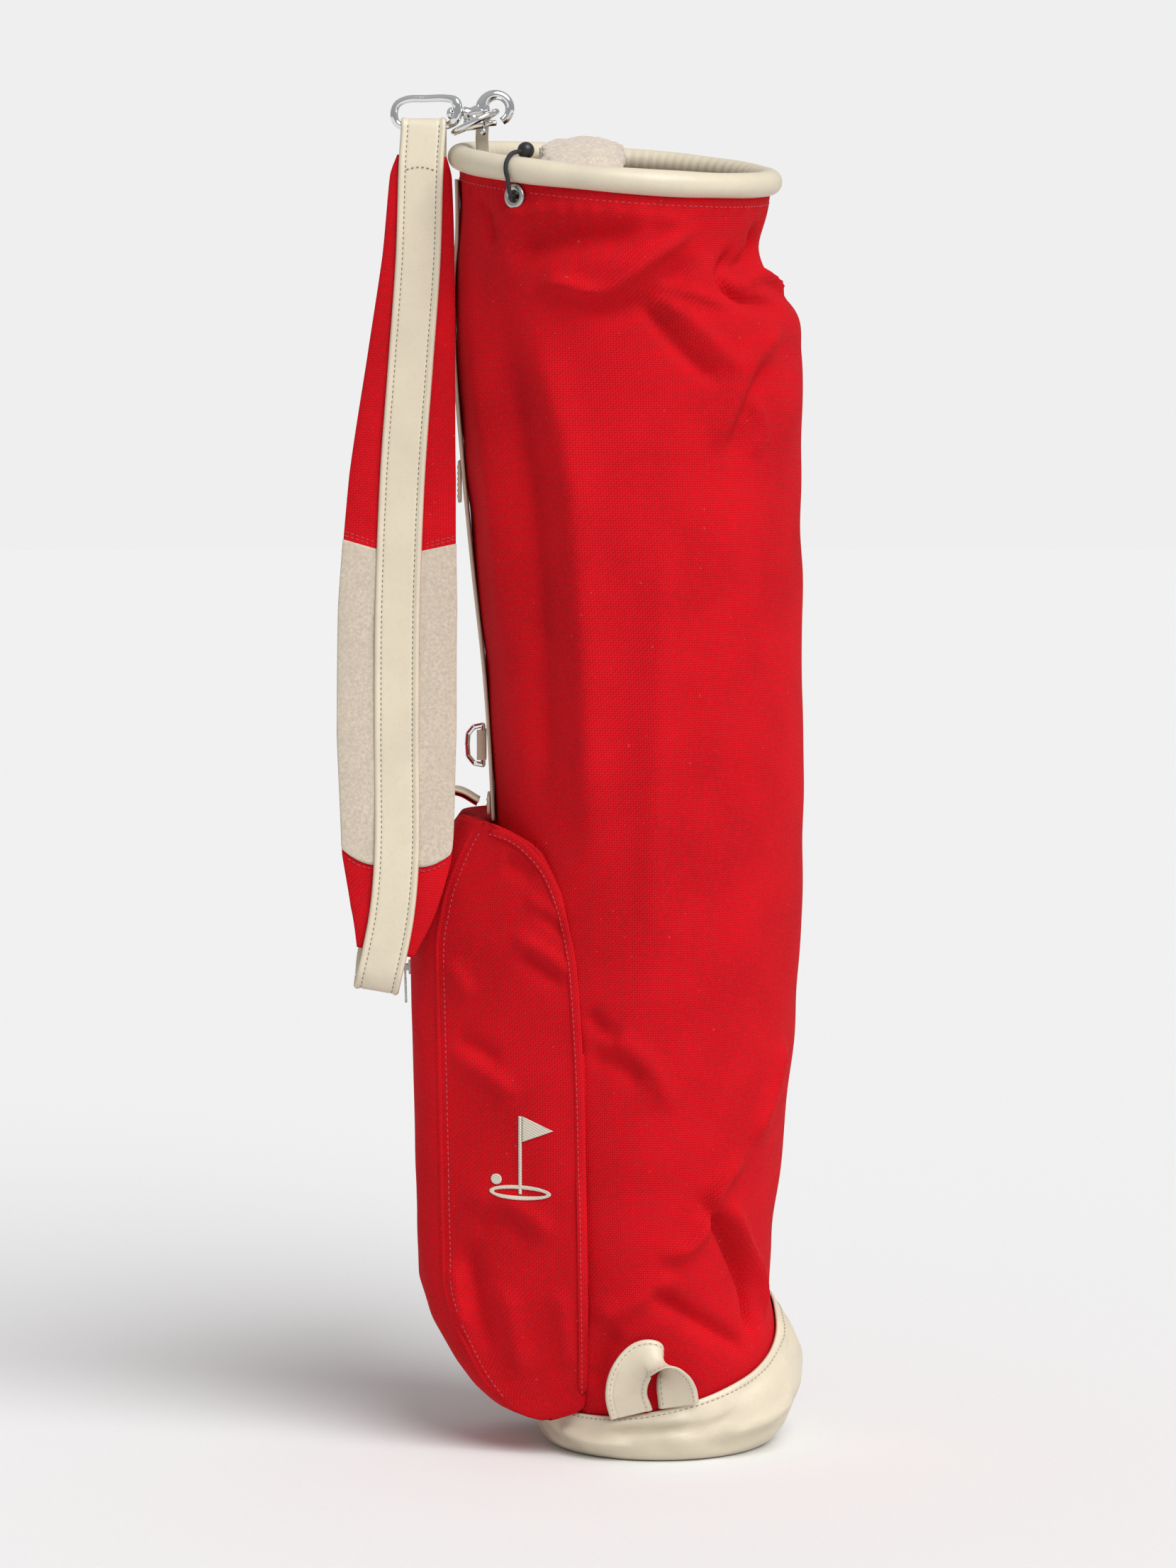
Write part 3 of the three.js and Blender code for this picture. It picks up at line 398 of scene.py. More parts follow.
# Folds of the canvas on the near side: height, half width, and where it runs (x, z). Hollows are negative.
NEAR_FOLDS = [
    (2.5, 6, [(-107, 820), (-81, 831), (-41, 833), (1, 828), (28, 818)]),
    (-5.0, 11, [(-96, 800), (-70, 808), (-35, 812), (-5, 815)]),
    (4.5, 6, [(28, 818), (12, 807), (-9, 791), (-30, 777), (-59, 782), (-74, 776)]),
    (-3.0, 8, [(35, 800), (10, 778), (-20, 765), (-50, 764)]),
    (3.5, 14, [(-75, 773), (-72, 745), (-64, 715), (-52, 669), (-46, 603), (-42, 550), (-40, 470), (-38, 400)]),
    (-4.5, 16, [(-98, 770), (-92, 700), (-82, 640), (-76, 560), (-72, 480), (-70, 430)]),
    (1.0, 12, [(-118, 790), (-112, 700), (-103, 620), (-98, 540)]),
    (-2.5, 7, [(-116, 841), (-107, 828), (-103, 805)]),
    (-4.5, 7, [(66, 826), (69, 805), (57, 785)]),
    (4.5, 6, [(96, 776), (76, 790), (57, 781)]),
    (-4.5, 5, [(57, 807), (54, 782), (65, 772), (91, 768)]),
    (-3.0, 6, [(-9, 771), (23, 737), (47, 715)]),
    (2.5, 8, [(-2, 782), (36, 748), (62, 722)]),
    (3.0, 9, [(88, 757), (65, 730), (51, 696), (39, 672)]),
    (-2.5, 7, [(78, 735), (62, 700), (52, 665)]),
    (1.8, 5, [(65, 712), (73, 688), (68, 667)]),
    (2.0, 5, [(4, 781), (23, 779), (44, 773), (55, 769)]),
    (-2.5, 7, [(-43, 306), (-32, 293), (-18, 285)]),
    (-2.2, 8, [(-42, 274), (-20, 270), (-4, 255)]),
    (2.0, 9, [(-40, 290), (-18, 283), (5, 262), (14, 235)]),
    (1.8, 14, [(10, 640), (6, 520), (2, 420), (0, 330)]),
    (5.0, 7, [(4, 142), (23, 146), (37, 163), (46, 189), (65, 209)]),
    (-6.0, 7, [(30, 184), (42, 165), (53, 146), (65, 109), (71, 66)]),
    (3.5, 7, [(48, 180), (62, 150), (74, 112), (80, 84)]),
    (-4.0, 8, [(-4, 122), (21, 103), (50, 84), (68, 66)]),
    (3.0, 8, [(-39, 99), (-20, 104), (5, 121), (22, 128)]),
    (-3.0, 8, [(-20, 94), (-32, 71), (-37, 46)]),
    (3.0, 10, [(90, 281), (81, 243), (67, 211)]),
]
# Folds on the far side, which nothing shows: the same kinds in other places.
FAR_FOLDS = [
    (-4.5, 10, [(-80, 812), (-30, 820), (30, 806), (60, 815)]),
    (4.0, 7, [(-90, 790), (-40, 800), (20, 782), (70, 792)]),
    (3.0, 15, [(-60, 770), (-40, 650), (-30, 500), (-20, 380)]),
    (-3.5, 16, [(-88, 740), (-70, 600), (-60, 450)]),
    (-3.0, 8, [(80, 760), (50, 710), (20, 690)]),
    (3.0, 9, [(-20, 760), (20, 720), (60, 700)]),
    (4.5, 8, [(70, 230), (40, 180), (0, 150)]),
    (-5.0, 8, [(60, 200), (66, 150), (50, 100)]),
    (-3.5, 9, [(-30, 130), (10, 110), (40, 80)]),
    (2.5, 12, [(40, 560), (48, 430), (40, 320)]),
]


def along_polyline(spots, line):
    """Each spot's distance from a polyline and its place along it, from 0 to 1."""
    line = np.asarray(line, float)
    lengths = np.linalg.norm(np.diff(line, axis=0), axis=1)
    starts = np.concatenate([[0], np.cumsum(lengths)])
    best = np.full(spots.shape[:-1], 1e9)
    place = np.zeros(spots.shape[:-1])
    for a, b, length, start in zip(line, line[1:], lengths, starts):
        t = np.clip(((spots - a) @ (b - a)) / length**2, 0, 1)
        distance = np.linalg.norm(spots - a - t[..., None] * (b - a), axis=-1)
        nearer = distance < best
        best = np.where(nearer, distance, best)
        place = np.where(nearer, (start + t * length) / starts[-1], place)
    return best, place


def fold_height(flat, folds):
    """How far folds lift each flat spot. A fold is soft across and dies away at its ends."""
    total = np.zeros(flat.shape[:-1])
    for height, width, line in folds:
        line = route([(a, b, 0) for a, b in line], 16)[0][:, :2]
        distance, place = along_polyline(flat, line)
        ends = smoothstep(place, -0.02, 0.22) * smoothstep(1 - place, -0.02, 0.22)
        total += height * ends * np.exp(-((distance / (0.85 * width)) ** 1.7))
    return total * settings().folds


def ripples(a, b, seed, height, longest, shortest):
    """Slow random waves over a flat surface."""
    rng = np.random.default_rng(seed)
    total = np.zeros(np.shape(a))
    for _ in range(14):
        turn, phase = rng.uniform(0, 2 * math.pi, 2)
        length = rng.uniform(shortest, longest)
        total += np.sin((a * math.cos(turn) + b * math.sin(turn)) * 2 * math.pi / length + phase)
    return total * height / 3.7


def tube_folds(angle, spots):
    """The folds' height on the tube, by angle and height. The near side has negative angles."""
    round_mm = 100.0
    flat = np.stack([angle * round_mm, spots[..., 2]], -1)
    total = ripples(flat[..., 0], flat[..., 1], 5, 0.5, 150, 45)
    for folds, near in ((NEAR_FOLDS, True), (FAR_FOLDS, False)):
        laid = [
            (h, w, [(float(tube_angle(x, z, near)) * round_mm, z) for x, z in line]) for h, w, line in folds
        ]
        side = smoothstep(-angle if near else angle, 0.0, 0.12)
        total += side * fold_height(flat, laid)
    return total


def tube_point(angle, z, off=0.0):
    spots = tube_base(angle, z, off)
    held = smoothstep(spots[..., 2] - boot_top(spots[..., 0], spots[..., 1]), -2, 32) * smoothstep(848 - z, 0, 22)
    puckers = 0.8 * np.sin(angle * 44 + 2 * np.sin(angle * 7)) * np.exp(-(((845 - z) / 15) ** 2))
    height = tube_folds(angle, spots) * held + puckers * smoothstep(848 - z, 0, 8)
    outward = np.stack([np.cos(angle), np.sin(angle), np.zeros_like(angle)], -1)
    return spots + outward * height[..., None]


# ---------- materials ----------


def settings():
    return bpy.context.scene.bag_sizes


def shades():
    return bpy.context.scene.bag_colours


def add(tree, kind, inputs=(), **choices):
    """Adds a node with its settings, and joins or sets its inputs."""
    node = tree.nodes.new(kind)
    for name, value in choices.items():
        setattr(node, name, value)
    for name, value in dict(inputs).items():
        if isinstance(value, bpy.types.NodeSocket):
            tree.links.new(value, node.inputs[name])
        else:
            node.inputs[name].default_value = value
    return node


def blended(tree, share, first, second):
    """A mix of two colours. Sockets 6 and 7 are the colour pair."""
    return add(tree, "ShaderNodeMix", {0: share, 6: first, 7: second}, data_type="RGBA").outputs[2]


def mixed(tree, share, first, second):
    return add(tree, "ShaderNodeMix", {0: share, 2: first, 3: second}, data_type="FLOAT").outputs[0]


def ranged(tree, value, low, high, to_low, to_high):
    limits = {"From Min": low, "From Max": high, "To Min": to_low, "To Max": to_high}
    return add(tree, "ShaderNodeMapRange", {"Value": value, **limits}).outputs[0]


def colour(value, bright=1.0):
    return (*[min(1.0, c * bright) for c in value], 1.0)


def surface(name, bright, roughness=0.5, metallic=0.0, **sockets):
    """A new material, its tree and its Principled node. bright is a linear colour."""
    if name in bpy.data.materials:
        return bpy.data.materials[name], None, None
    material = bpy.data.materials.new(name)
    material.use_nodes = True
    tree = material.node_tree
    shader = tree.nodes["Principled BSDF"]
    shader.inputs["Base Color"].default_value = colour(bright)
    shader.inputs["Roughness"].default_value = roughness
    shader.inputs["Metallic"].default_value = metallic
    for socket, value in sockets.items():
        shader.inputs[socket.replace("_", " ")].default_value = value
    return material, tree, shader


def object_noise(tree, size_mm, detail=3.0, rough=0.5):
    """Noise on Object coordinates whose blobs are about size_mm wide."""
    where = add(tree, "ShaderNodeTexCoord").outputs["Object"]
    inputs = {"Vector": where, "Scale": 1 / (size_mm * MM), "Detail": detail, "Roughness": rough}
    return add(tree, "ShaderNodeTexNoise", inputs).outputs["Fac"]


def set_bump(tree, shader, height, depth_mm, strength=1.0):
    bump = add(tree, "ShaderNodeBump", {"Height": height, "Distance": depth_mm * MM, "Strength": strength})
    tree.links.new(bump.outputs[0], shader.inputs["Normal"])


def red_canvas():
    """Plain-woven cotton canvas, dyed: matt, with threads that show as a fine check and a soft bloom.

    Real threads lie about 0.8 mm apart. They are drawn twice as coarse, so that they show."""
    material, tree, shader = surface(
        "woven_cotton_canvas", shades().canvas, roughness=0.85, Specular_IOR_Level=0.12
    )
    if tree is None:
        return material
    pitch = settings().weave
    cloth = add(tree, "ShaderNodeUVMap", uv_map="Cloth").outputs[0]
    bands = 2 * math.pi / (20 * pitch)  # a wave of scale 1 has 20 / 2 pi bands in a metre
    warp, weft = [
        add(tree, "ShaderNodeTexWave", {"Vector": cloth, "Scale": bands}, bands_direction=d).outputs["Fac"]
        for d in "XY"
    ]
    over = add(tree, "ShaderNodeTexChecker", {"Vector": cloth, "Scale": 1 / pitch}).outputs["Fac"]
    threads = mixed(tree, over, warp, weft)
    patches = ranged(tree, object_noise(tree, 60, 4), 0.35, 0.7, 0.0, 0.55)
    slubs = ranged(tree, object_noise(tree, 2.5, 2), 0.4, 0.75, 0.0, 0.35)
    base = blended(tree, patches, colour(shades().canvas), colour(shades().canvas_deep))
    base = blended(tree, slubs, base, colour(shades().canvas, 1.25))
    # Painted shade: the low spots between the threads are darkened towards a dim deep red, following the bump's
    # height.
    pit_shade = ranged(tree, threads, 0.0, 0.6, 0.42, 0.0)
    base = blended(tree, pit_shade, base, colour(shades().canvas_deep, 0.45))
    lint = ranged(tree, object_noise(tree, 2.6, 0), 0.855, 0.87, 0.0, 0.6)
    base = blended(tree, lint, base, colour(shades().red_thread, 1.3))
    tree.links.new(base, shader.inputs["Base Color"])
    set_bump(tree, shader, threads, 0.28, 0.75)
    return material


def cream_leather():
    """Smooth cowhide with a pigmented, lightly buffed face: fine pebbles, a satin shine, faint clouding."""
    material, tree, shader = surface(
        "pigmented_cream_leather", shades().leather, roughness=0.46, Coat_Weight=0.08, Coat_Roughness=0.35
    )
    if tree is None:
        return material
    where = add(tree, "ShaderNodeTexCoord").outputs["Object"]
    pebbles = add(
        tree, "ShaderNodeTexVoronoi", {"Vector": where, "Scale": 1 / settings().grain}, feature="SMOOTH_F1"
    ).outputs["Distance"]
    clouds = ranged(tree, object_noise(tree, 35, 5, 0.6), 0.35, 0.75, 0.0, 1.0)
    base = blended(tree, clouds, colour(shades().leather), colour(shades().leather, 0.88))
    pores = ranged(tree, pebbles, 0.45, 0.95, 0.0, 0.22)
    base = blended(tree, pores, base, colour(linear("BFAE90")))
    tree.links.new(base, shader.inputs["Base Color"])
    tree.links.new(ranged(tree, clouds, 0, 1, 0.40, 0.54), shader.inputs["Roughness"])
    creases = mixed(tree, 0.45, pebbles, object_noise(tree, 5, 4, 0.6))
    set_bump(tree, shader, creases, 0.16, 0.55)
    return material


def napped_suede():
    """Split leather with a brushed nap: no shine, mottled where the nap lies both ways."""
    material, tree, shader = surface(
        "napped_suede", shades().suede, roughness=0.95, Sheen_Weight=0.35, Sheen_Roughness=0.4
    )
    if tree is None:
        return material
    nap = object_noise(tree, 2.2, 6, 0.75)
    mottled = blended(
        tree, ranged(tree, nap, 0.38, 0.62, 0, 1), colour(shades().suede, 0.82), colour(shades().suede, 1.1)
    )
    worn = ranged(tree, object_noise(tree, 28, 3), 0.4, 0.7, 0, 0.3)
    tree.links.new(blended(tree, worn, mottled, colour(shades().suede, 0.85)), shader.inputs["Base Color"])
    set_bump(tree, shader, nap, 0.5, 0.8)
    return material


def fleece():
    """Knitted polyester fleece with a curled pile: soft, bright and matt, with shaded curls."""
    material, tree, shader = surface(
        "curled_fleece", shades().fleece, roughness=1.0, Sheen_Weight=0.5, Sheen_Roughness=0.6
    )
    if tree is None:
        return material
    where = add(tree, "ShaderNodeTexCoord").outputs["Object"]
    curls = add(
        tree, "ShaderNodeTexVoronoi", {"Vector": where, "Scale": 1 / 0.0028, "Randomness": 1.0}
    ).outputs["Distance"]
    # Painted shade: the fleece darkens away from each curl's middle, into the hollows between the curls.
    curl_shade = ranged(tree, curls, 0.2, 0.8, 0.0, 0.5)
    base = blended(tree, curl_shade, colour(shades().fleece), colour(shades().fleece, 0.62))
    tree.links.new(base, shader.inputs["Base Color"])
    set_bump(tree, shader, mixed(tree, 0.5, curls, object_noise(tree, 1.5, 5, 0.8)), -1.0, 0.9)
    return material


def plated(name, code, roughness, brushed_mm):
    """Plated zinc or steel: bright metal with fine polishing marks that vary its gloss."""
    material, tree, shader = surface(name, code, roughness=roughness, metallic=1.0)
    if tree is None:
        return material
    marks = object_noise(tree, brushed_mm, 2, 0.5)
    tree.links.new(ranged(tree, marks, 0.3, 0.7, roughness * 0.7, roughness * 1.5), shader.inputs["Roughness"])
    set_bump(tree, shader, marks, 0.004, 0.15)
    return material


def polished_chrome():
    return plated("polished_chrome", linear("E6E7E9"), 0.09, 6)


def satin_nickel():
    return plated("satin_nickel", linear("BCBAB8"), 0.28, 1.2)


def drawn_wire():
    return plated("drawn_spring_wire", linear("949497"), 0.35, 0.8)


def black_moulding():
    """Moulded nylon: black, half matt, with the fine spark texture of its mould."""
    material, tree, shader = surface("moulded_black_nylon", linear("1B1B1D"), roughness=0.38)
    if tree is None:
        return material
    grain = object_noise(tree, 0.9, 4, 0.7)
    base = blended(tree, ranged(tree, grain, 0.3, 0.7, 0, 1), colour(linear("17171A")), colour(linear("262629")))
    tree.links.new(base, shader.inputs["Base Color"])
    set_bump(tree, shader, grain, 0.05, 0.5)
    return material


def braided_black():
    """Braided elastic and woven zip tape: black yarns in a fine diagonal."""
    material, tree, shader = surface("braided_black_yarn", linear("1B1B1D"), roughness=0.7)
    if tree is None:
        return material
    cloth = add(tree, "ShaderNodeUVMap", uv_map="Cloth").outputs[0]
    yarns = [
        add(
            tree,
            "ShaderNodeTexWave",
            {"Vector": add(tree, "ShaderNodeMapping", {"Vector": cloth, "Rotation": (0, 0, turn)}).outputs[0],
             "Scale": 2 * math.pi / (20 * 0.0009)},
        ).outputs["Fac"]
        for turn in (0.8, -0.8)
    ]
    height = mixed(tree, 0.5, *yarns)
    # Painted shade: the yarns are darker where they dip and lighter on their crowns, by the same height as the bump.
    base = blended(tree, height, colour(linear("111113")), colour(linear("343438")))
    tree.links.new(base, shader.inputs["Base Color"])
    set_bump(tree, shader, height, 0.15, 0.8)
    return material


def thread(name, tint):
    """Twisted polyester thread: each stitch shows two or three turns of the ply and a slight shine."""
    material, tree, shader = surface(name, tint, roughness=0.5, Sheen_Weight=0.2)
    if tree is None:
        return material
    where = add(tree, "ShaderNodeTexCoord").outputs["Object"]
    ply = add(
        tree, "ShaderNodeTexWave", {"Vector": where, "Scale": 260.0, "Distortion": 1.0}, bands_direction="DIAGONAL"
    ).outputs["Fac"]
    # Painted shade: the thread darkens in the grooves of the ply and lightens on its turns, by the bump's own wave.
    tree.links.new(blended(tree, ply, colour(tint, 0.72), colour(tint, 1.08)), shader.inputs["Base Color"])
    set_bump(tree, shader, ply, 0.1, 0.5)
    return material


def red_thread():
    return thread("red_sewing_thread", shades().red_thread)


def olive_thread():
    return thread("olive_sewing_thread", shades().olive_thread)


def boot_thread():
    return thread("beige_sewing_thread", shades().boot_thread)


def satin_stitch():
    """Satin-stitch embroidery in rayon: close parallel threads with a silky shine.

    Real threads are 0.35 mm apart. They are drawn at 0.9 mm, so that they show."""
    material, tree, shader = surface("rayon_satin_stitch", shades().cream_thread, roughness=0.42, Sheen_Weight=0.2)
    if tree is None:
        return material
    where = add(tree, "ShaderNodeTexCoord").outputs["Object"]
    rows = add(
        tree,
        "ShaderNodeTexWave",
        {"Vector": where, "Scale": 2 * math.pi / (20 * 0.0009), "Distortion": 0.4},
        bands_direction="DIAGONAL",
    ).outputs["Fac"]
    tint = shades().cream_thread
    # Painted shade: darker in the furrows between the stitched rows, by the same waves as the bump.
    tree.links.new(blended(tree, rows, colour(tint, 0.7), colour(tint, 1.0)), shader.inputs["Base Color"])
    set_bump(tree, shader, rows, 0.25, 0.8)
    return material


def inner_stuff(name, tint, size_mm, roughness):
    """Board or foam that the bag hides: an even grey with the cells or fibres of its cut face."""
    material, tree, shader = surface(name, tint, roughness=roughness)
    if tree is None:
        return material
    cells = object_noise(tree, size_mm, 4, 0.7)
    base = blended(tree, ranged(tree, cells, 0.3, 0.7, 0, 1), colour(tint, 0.75), colour(tint, 1.2))
    tree.links.new(base, shader.inputs["Base Color"])
    set_bump(tree, shader, cells, 0.2, 0.7)
    return material


def foam():
    return inner_stuff("closed_cell_foam", linear("8D8F94"), 1.5, 0.95)


def stay_board():
    return inner_stuff("pressed_fibre_board", linear("3A3634"), 3.0, 0.8)


def painted_steel():
    return inner_stuff("powder_coated_steel", linear("303135"), 0.8, 0.45)


def pale_floor():
    """Painted board: even and matt, with the faint mottle of a roller."""
    material, tree, shader = surface("painted_board_floor", linear("E6E6E6"), roughness=1.0, Specular_IOR_Level=0.0)
    mottle = ranged(tree, object_noise(tree, 4, 2), 0.3, 0.7, 0, 1)
    tint = blended(tree, mottle, colour(linear("E5E5E5")), colour(linear("E7E7E7")))
    tree.links.new(tint, shader.inputs["Base Color"])
    return material


# ---------- building steps ----------


class Step:
    """What every building step shares."""

    bl_options = {"REGISTER"}


class BAG_OT_tube(Step, bpy.types.Operator):
    """The canvas tube with its folds, its seam under the rim and the eyelet's hole"""

    bl_idname = "bag.tube"
    bl_label = "Canvas tube"

    def execute(self, context):
        near, far, rows = 118, 56, 250
        angles = np.concatenate([np.linspace(-math.pi, 0, near, endpoint=False), np.linspace(0, math.pi, far + 1)])
        heights = np.linspace(TUBE_LOW, TUBE_HIGH + 5, rows + 1)
        bm = lattice(near + far, rows, lambda i, j: tube_point(angles[i], heights[j], CANVAS / 2), (True, False))
        middle, outward = eyelet_place()
        hole = [
            f for f in bm.faces
            if (f.calc_center_median() / MM - Vector(middle)).length < EYELET["outer"] - 2.2
        ]
        bmesh.ops.delete(bm, geom=hole, context="FACES")
        tube = piece("canvas_tube", bm, "bag", red_canvas(), ["tube_canvas"], CANVAS)
        turns = np.linspace(-math.pi, math.pi, 260)
        outward = np.stack([np.cos(turns), np.sin(turns), np.zeros_like(turns)], -1)
        spots = tube_point(turns, np.full_like(turns, 845.0), CANVAS / 2)
        clear = np.linalg.norm(spots - middle, axis=-1) > EYELET["outer"] + 1
        first = int(np.argmin(clear))
        order = np.roll(np.arange(len(turns)), -first - int((~clear).sum()))[: int(clear.sum())]
        stitches("rim_stitching", spots[order], outward[order], "bag", red_thread(), 4.2)
        return {"FINISHED"}


class BAG_OT_rim(Step, bpy.types.Operator):
    """The padded rim's leather roll, gathered inside. Its hoop and foam keep their CAD shape and get their finish with
    the hidden parts
    """

    bl_idname = "bag.rim"
    bl_label = "Rim"

    def execute(self, context):
        steps, around = 300, 28
        turns = np.linspace(0, 2 * math.pi, steps, endpoint=False)
        a = np.linspace(0, 2 * math.pi, around, endpoint=False)
        inward = np.clip(-np.cos(a), 0, 1) ** 0.7
        wave = np.sin(turns * 88 + 3 * np.sin(turns * 5))[:, None] * inward * 0.45
        soft = ripples(turns * RIM["radius"], turns * 0, 8, 0.25, 120, 40)[:, None]
        roll = RIM["roll"] + wave + soft - 0.4
        section = np.stack([roll * np.cos(a), roll * np.sin(a)], -1)
        section[..., 1] *= 1 - 0.04 * (np.sin(a) < 0)
        outward = np.stack([np.cos(turns), np.sin(turns), turns * 0], -1)
        path = rim_point(turns, 0, 0)
        bm = sweep(path, section, outward, closed=True)
        piece("rim_roll", bm, "bag", cream_leather(), ["rim_leather"])
        return {"FINISHED"}


def rim_point(turn, out, up):
    """A point of the rim by its turn, and how far it lies outside and above the roll's middle."""
    x = (RIM["radius"] + out) * np.cos(turn)
    y = (RIM["radius"] + out) * np.sin(turn)
    return np.stack([x + RIM["x"], y, RIM["z"] + up + RIM["fall_y"] * y - RIM["fall_x"] * x], -1)


class BAG_OT_mouth(Step, bpy.types.Operator):
    """The gathered lining of the mouth and the divider in its fleece"""

    bl_idname = "bag.mouth"
    bl_label = "Mouth"

    def execute(self, context):
        columns, rows = 240, 34
        turns = np.linspace(-math.pi, math.pi, columns + 1)
        heights = np.linspace(770, 847, rows + 1)

        def place(i, j):
            angle, z = turns[i], heights[j]
            gathers = 0.7 * np.sin(angle * 62 + 3 * np.sin(angle * 5)) + 0.4 * np.sin(angle * 23)
            soft = smoothstep(z, 770, 780) * smoothstep(850 - z, 0, 12)
            fold = tube_folds(angle, tube_base(angle, z)) * smoothstep(848 - z, 0, 22)
            outward = np.stack([np.cos(angle), np.sin(angle), angle * 0], -1)
            return tube_base(angle, z, -3.4) + outward * (gathers * soft + fold)[..., None]

        bm = lattice(columns, rows, place, (True, False))
        bmesh.ops.reverse_faces(bm, faces=bm.faces)
        piece("mouth_lining_gathered", bm, "bag", cream_leather(), ["mouth_lining"], 0.6)
        self.divider()
        return {"FINISHED"}

    def divider(self):
        reach, middle, width, thick = 89, -45, 55, 21
        share = np.linspace(-1, 1, 90)
        top = RIM["z"] + 1.8 + RIM["fall_y"] * share * reach - 2 + 9 * (1 - share**2)
        path = np.stack([np.full_like(share, middle), share * reach, top], -1)
        a = np.linspace(0, 2 * math.pi, 64, endpoint=False)
        full = np.sqrt(np.clip(1 - np.abs(share) ** 14, 0.12, 1))[:, None]
        side = np.sign(np.cos(a)) * np.abs(np.cos(a)) ** 0.75 * width / 2 * full
        rise = np.sign(np.sin(a)) * np.abs(np.sin(a)) ** 0.8 * thick / 2 * full
        lumps = ripples(path[:, 1:2] + a * 0, a * 25, 3, 1.1, 26, 8) + ripples(
            path[:, 1:2] + a * 0, a * 25, 4, 0.5, 8, 4
        )
        size = np.hypot(side, rise)
        section = np.stack([side, rise], -1) * (1 + lumps / size)[..., None]
        bm = sweep(path, section, (1, 0, 0))
        cover = piece("divider_cover", bm, "bag", fleece(), ["divider_fleece", "divider_core"])


def eyelet_place():
    """The middle of the eyelet on the canvas, and its outward direction."""
    depth = float(tube_section(np.array(EYELET["z"]))[2])
    x = EYELET["x"]
    y = -math.sqrt(1 - ((x - RIM["x"]) / depth) ** 2) * depth
    outward = unit((x - RIM["x"], y, 0))
    return np.array([x, y, EYELET["z"]]) + outward * 0.4, outward


def around_roll(degrees, radius):
    """A point beside the eyelet, by its angle round the rim's roll and its distance from the middle."""
    _, outward = eyelet_place()
    turn = math.atan2(outward[1], outward[0])
    a = math.radians(degrees)
    return rim_point(turn, 0, 0) + outward * radius * math.cos(a) + np.array([0, 0, radius * math.sin(a)])


class BAG_OT_toggle(Step, bpy.types.Operator):
    """The eyelet, the elastic cord round the roll, its knot inside and the ball on its end"""

    bl_idname = "bag.toggle"
    bl_label = "Eyelet and toggle"

    def execute(self, context):
        middle, outward = eyelet_place()
        inner, outer = EYELET["inner"], EYELET["outer"]
        a = np.linspace(math.pi, 0, 12)
        face = [(inner + 2.1 + 2.1 * math.cos(t), 1.9 + 1.5 * math.sin(t)) for t in a]
        rim = [(outer - 0.3, 1.5), (outer, 1.1), (outer - 0.3, 0.8), (inner + 1, 0.8)]
        back = [(inner + 1, -2.4), (outer, -2.4), (outer, -3.6), (inner, -3.6)]
        profile = face + rim + back + [face[0]]
        piece("eyelet_washer", lathe(profile, middle, outward), "bag", satin_nickel(), ["eyelet"])
        self.cord(middle, outward)
        return {"FINISHED"}

    def cord(self, middle, outward):
        up = np.array([0, 0, 1.2])
        off = RIM["roll"] + EYELET["cord"] + 0.5
        ball = around_roll(128, RIM["roll"] + EYELET["ball"] + 1.2)
        last = around_roll(88, off) - ball
        end = ball + unit(last) * (EYELET["ball"] - 0.6)
        route_points = [middle - outward * 7, middle + outward * 1.5, middle + outward * 6 + up]
        route_points += [around_roll(d, off) for d in (-35, -5, 25, 55, 78)] + [end]
        path, _ = route(route_points, 60)
        cord = piece(
            "toggle_cord", sweep(path, circle(EYELET["cord"], 14)), "bag", braided_black(),
            ["elastic_cord"],
        )
        knot_at = middle - outward * (7 + 4.2)
        knot = piece("cord_end_knot", knotted(knot_at, 4.0), "bag", braided_black(), ["cord_knot"])
        radius = EYELET["ball"]
        t = np.linspace(-math.pi / 2, math.pi / 2, 24)
        profile = [(max(0, radius * math.cos(x)), radius * math.sin(x)) for x in t]
        profile = [(r, h) if abs(h) < radius * 0.93 or h > 0 else (r, h * 0.985) for r, h in profile]
        ball_piece = piece(
            "toggle_ball_moulded", lathe(profile, ball, unit(last)), "toggle", black_moulding(),
            ["toggle_ball"],
        )


def knotted(centre, radius):
    """An overhand knot drawn tight: a thick cord that winds twice through itself."""
    t = np.linspace(0, 2 * math.pi, 90, endpoint=False)
    ring = (2 + np.cos(3 * t)) / 3
    path = np.stack([ring * np.cos(2 * t), ring * np.sin(2 * t), np.sin(3 * t) * 0.55], -1) * radius * 0.62
    return sweep(path + np.asarray(centre), circle(radius * 0.36, 12), closed=True)


# The boot's wall from the middle of its foot, up the outside to the top edge and down the inside.
BOOT_WALL = [
    (0, 0), (50, 0), (96, 0), (100, 0.4), (103, 2), (105.2, 6), (107, 18), (107.3, 26), (106.5, 36), (105, 48),
    (103.9, 57), (103.6, 59.6), (102.8, 60.4), (101.9, 60), (101.7, 57), (103, 44), (104.3, 30), (104.6, 18),
    (102.6, 5), (100, 2.4), (50, 2), (0, 2),
]
BOOT_CREASES = [
    (-3.2, 3.5, [(-32, 20), (-8, 22), (14, 24), (37, 24), (56, 36)]),
    (2.2, 5, [(-35, 28), (0, 30), (30, 31)]),
    (-2.2, 3.5, [(-72, 22), (-66, 14), (-52, 8)]),
    (2.5, 5, [(-60, 19), (-40, 13), (-10, 12)]),
    (-2.6, 3.5, [(40, 9), (60, 12), (78, 19), (94, 34)]),
    (2.4, 5, [(45, 18), (66, 24), (84, 36)]),
    (-2.2, 4, [(53, 44), (70, 54), (81, 64), (95, 70)]),
]


def boot_top(x, y):
    """The height of the boot's edge. It peaks at the right, where the bag is picked up."""
    peak = 16 * np.exp(-(((x - 92) / 16) ** 2) - ((y - 12) / 42) ** 2)
    return BOOT["top"] + BOOT["rise_x"] * (x - BOOT["x"]) + BOOT["rise_y"] * y + peak


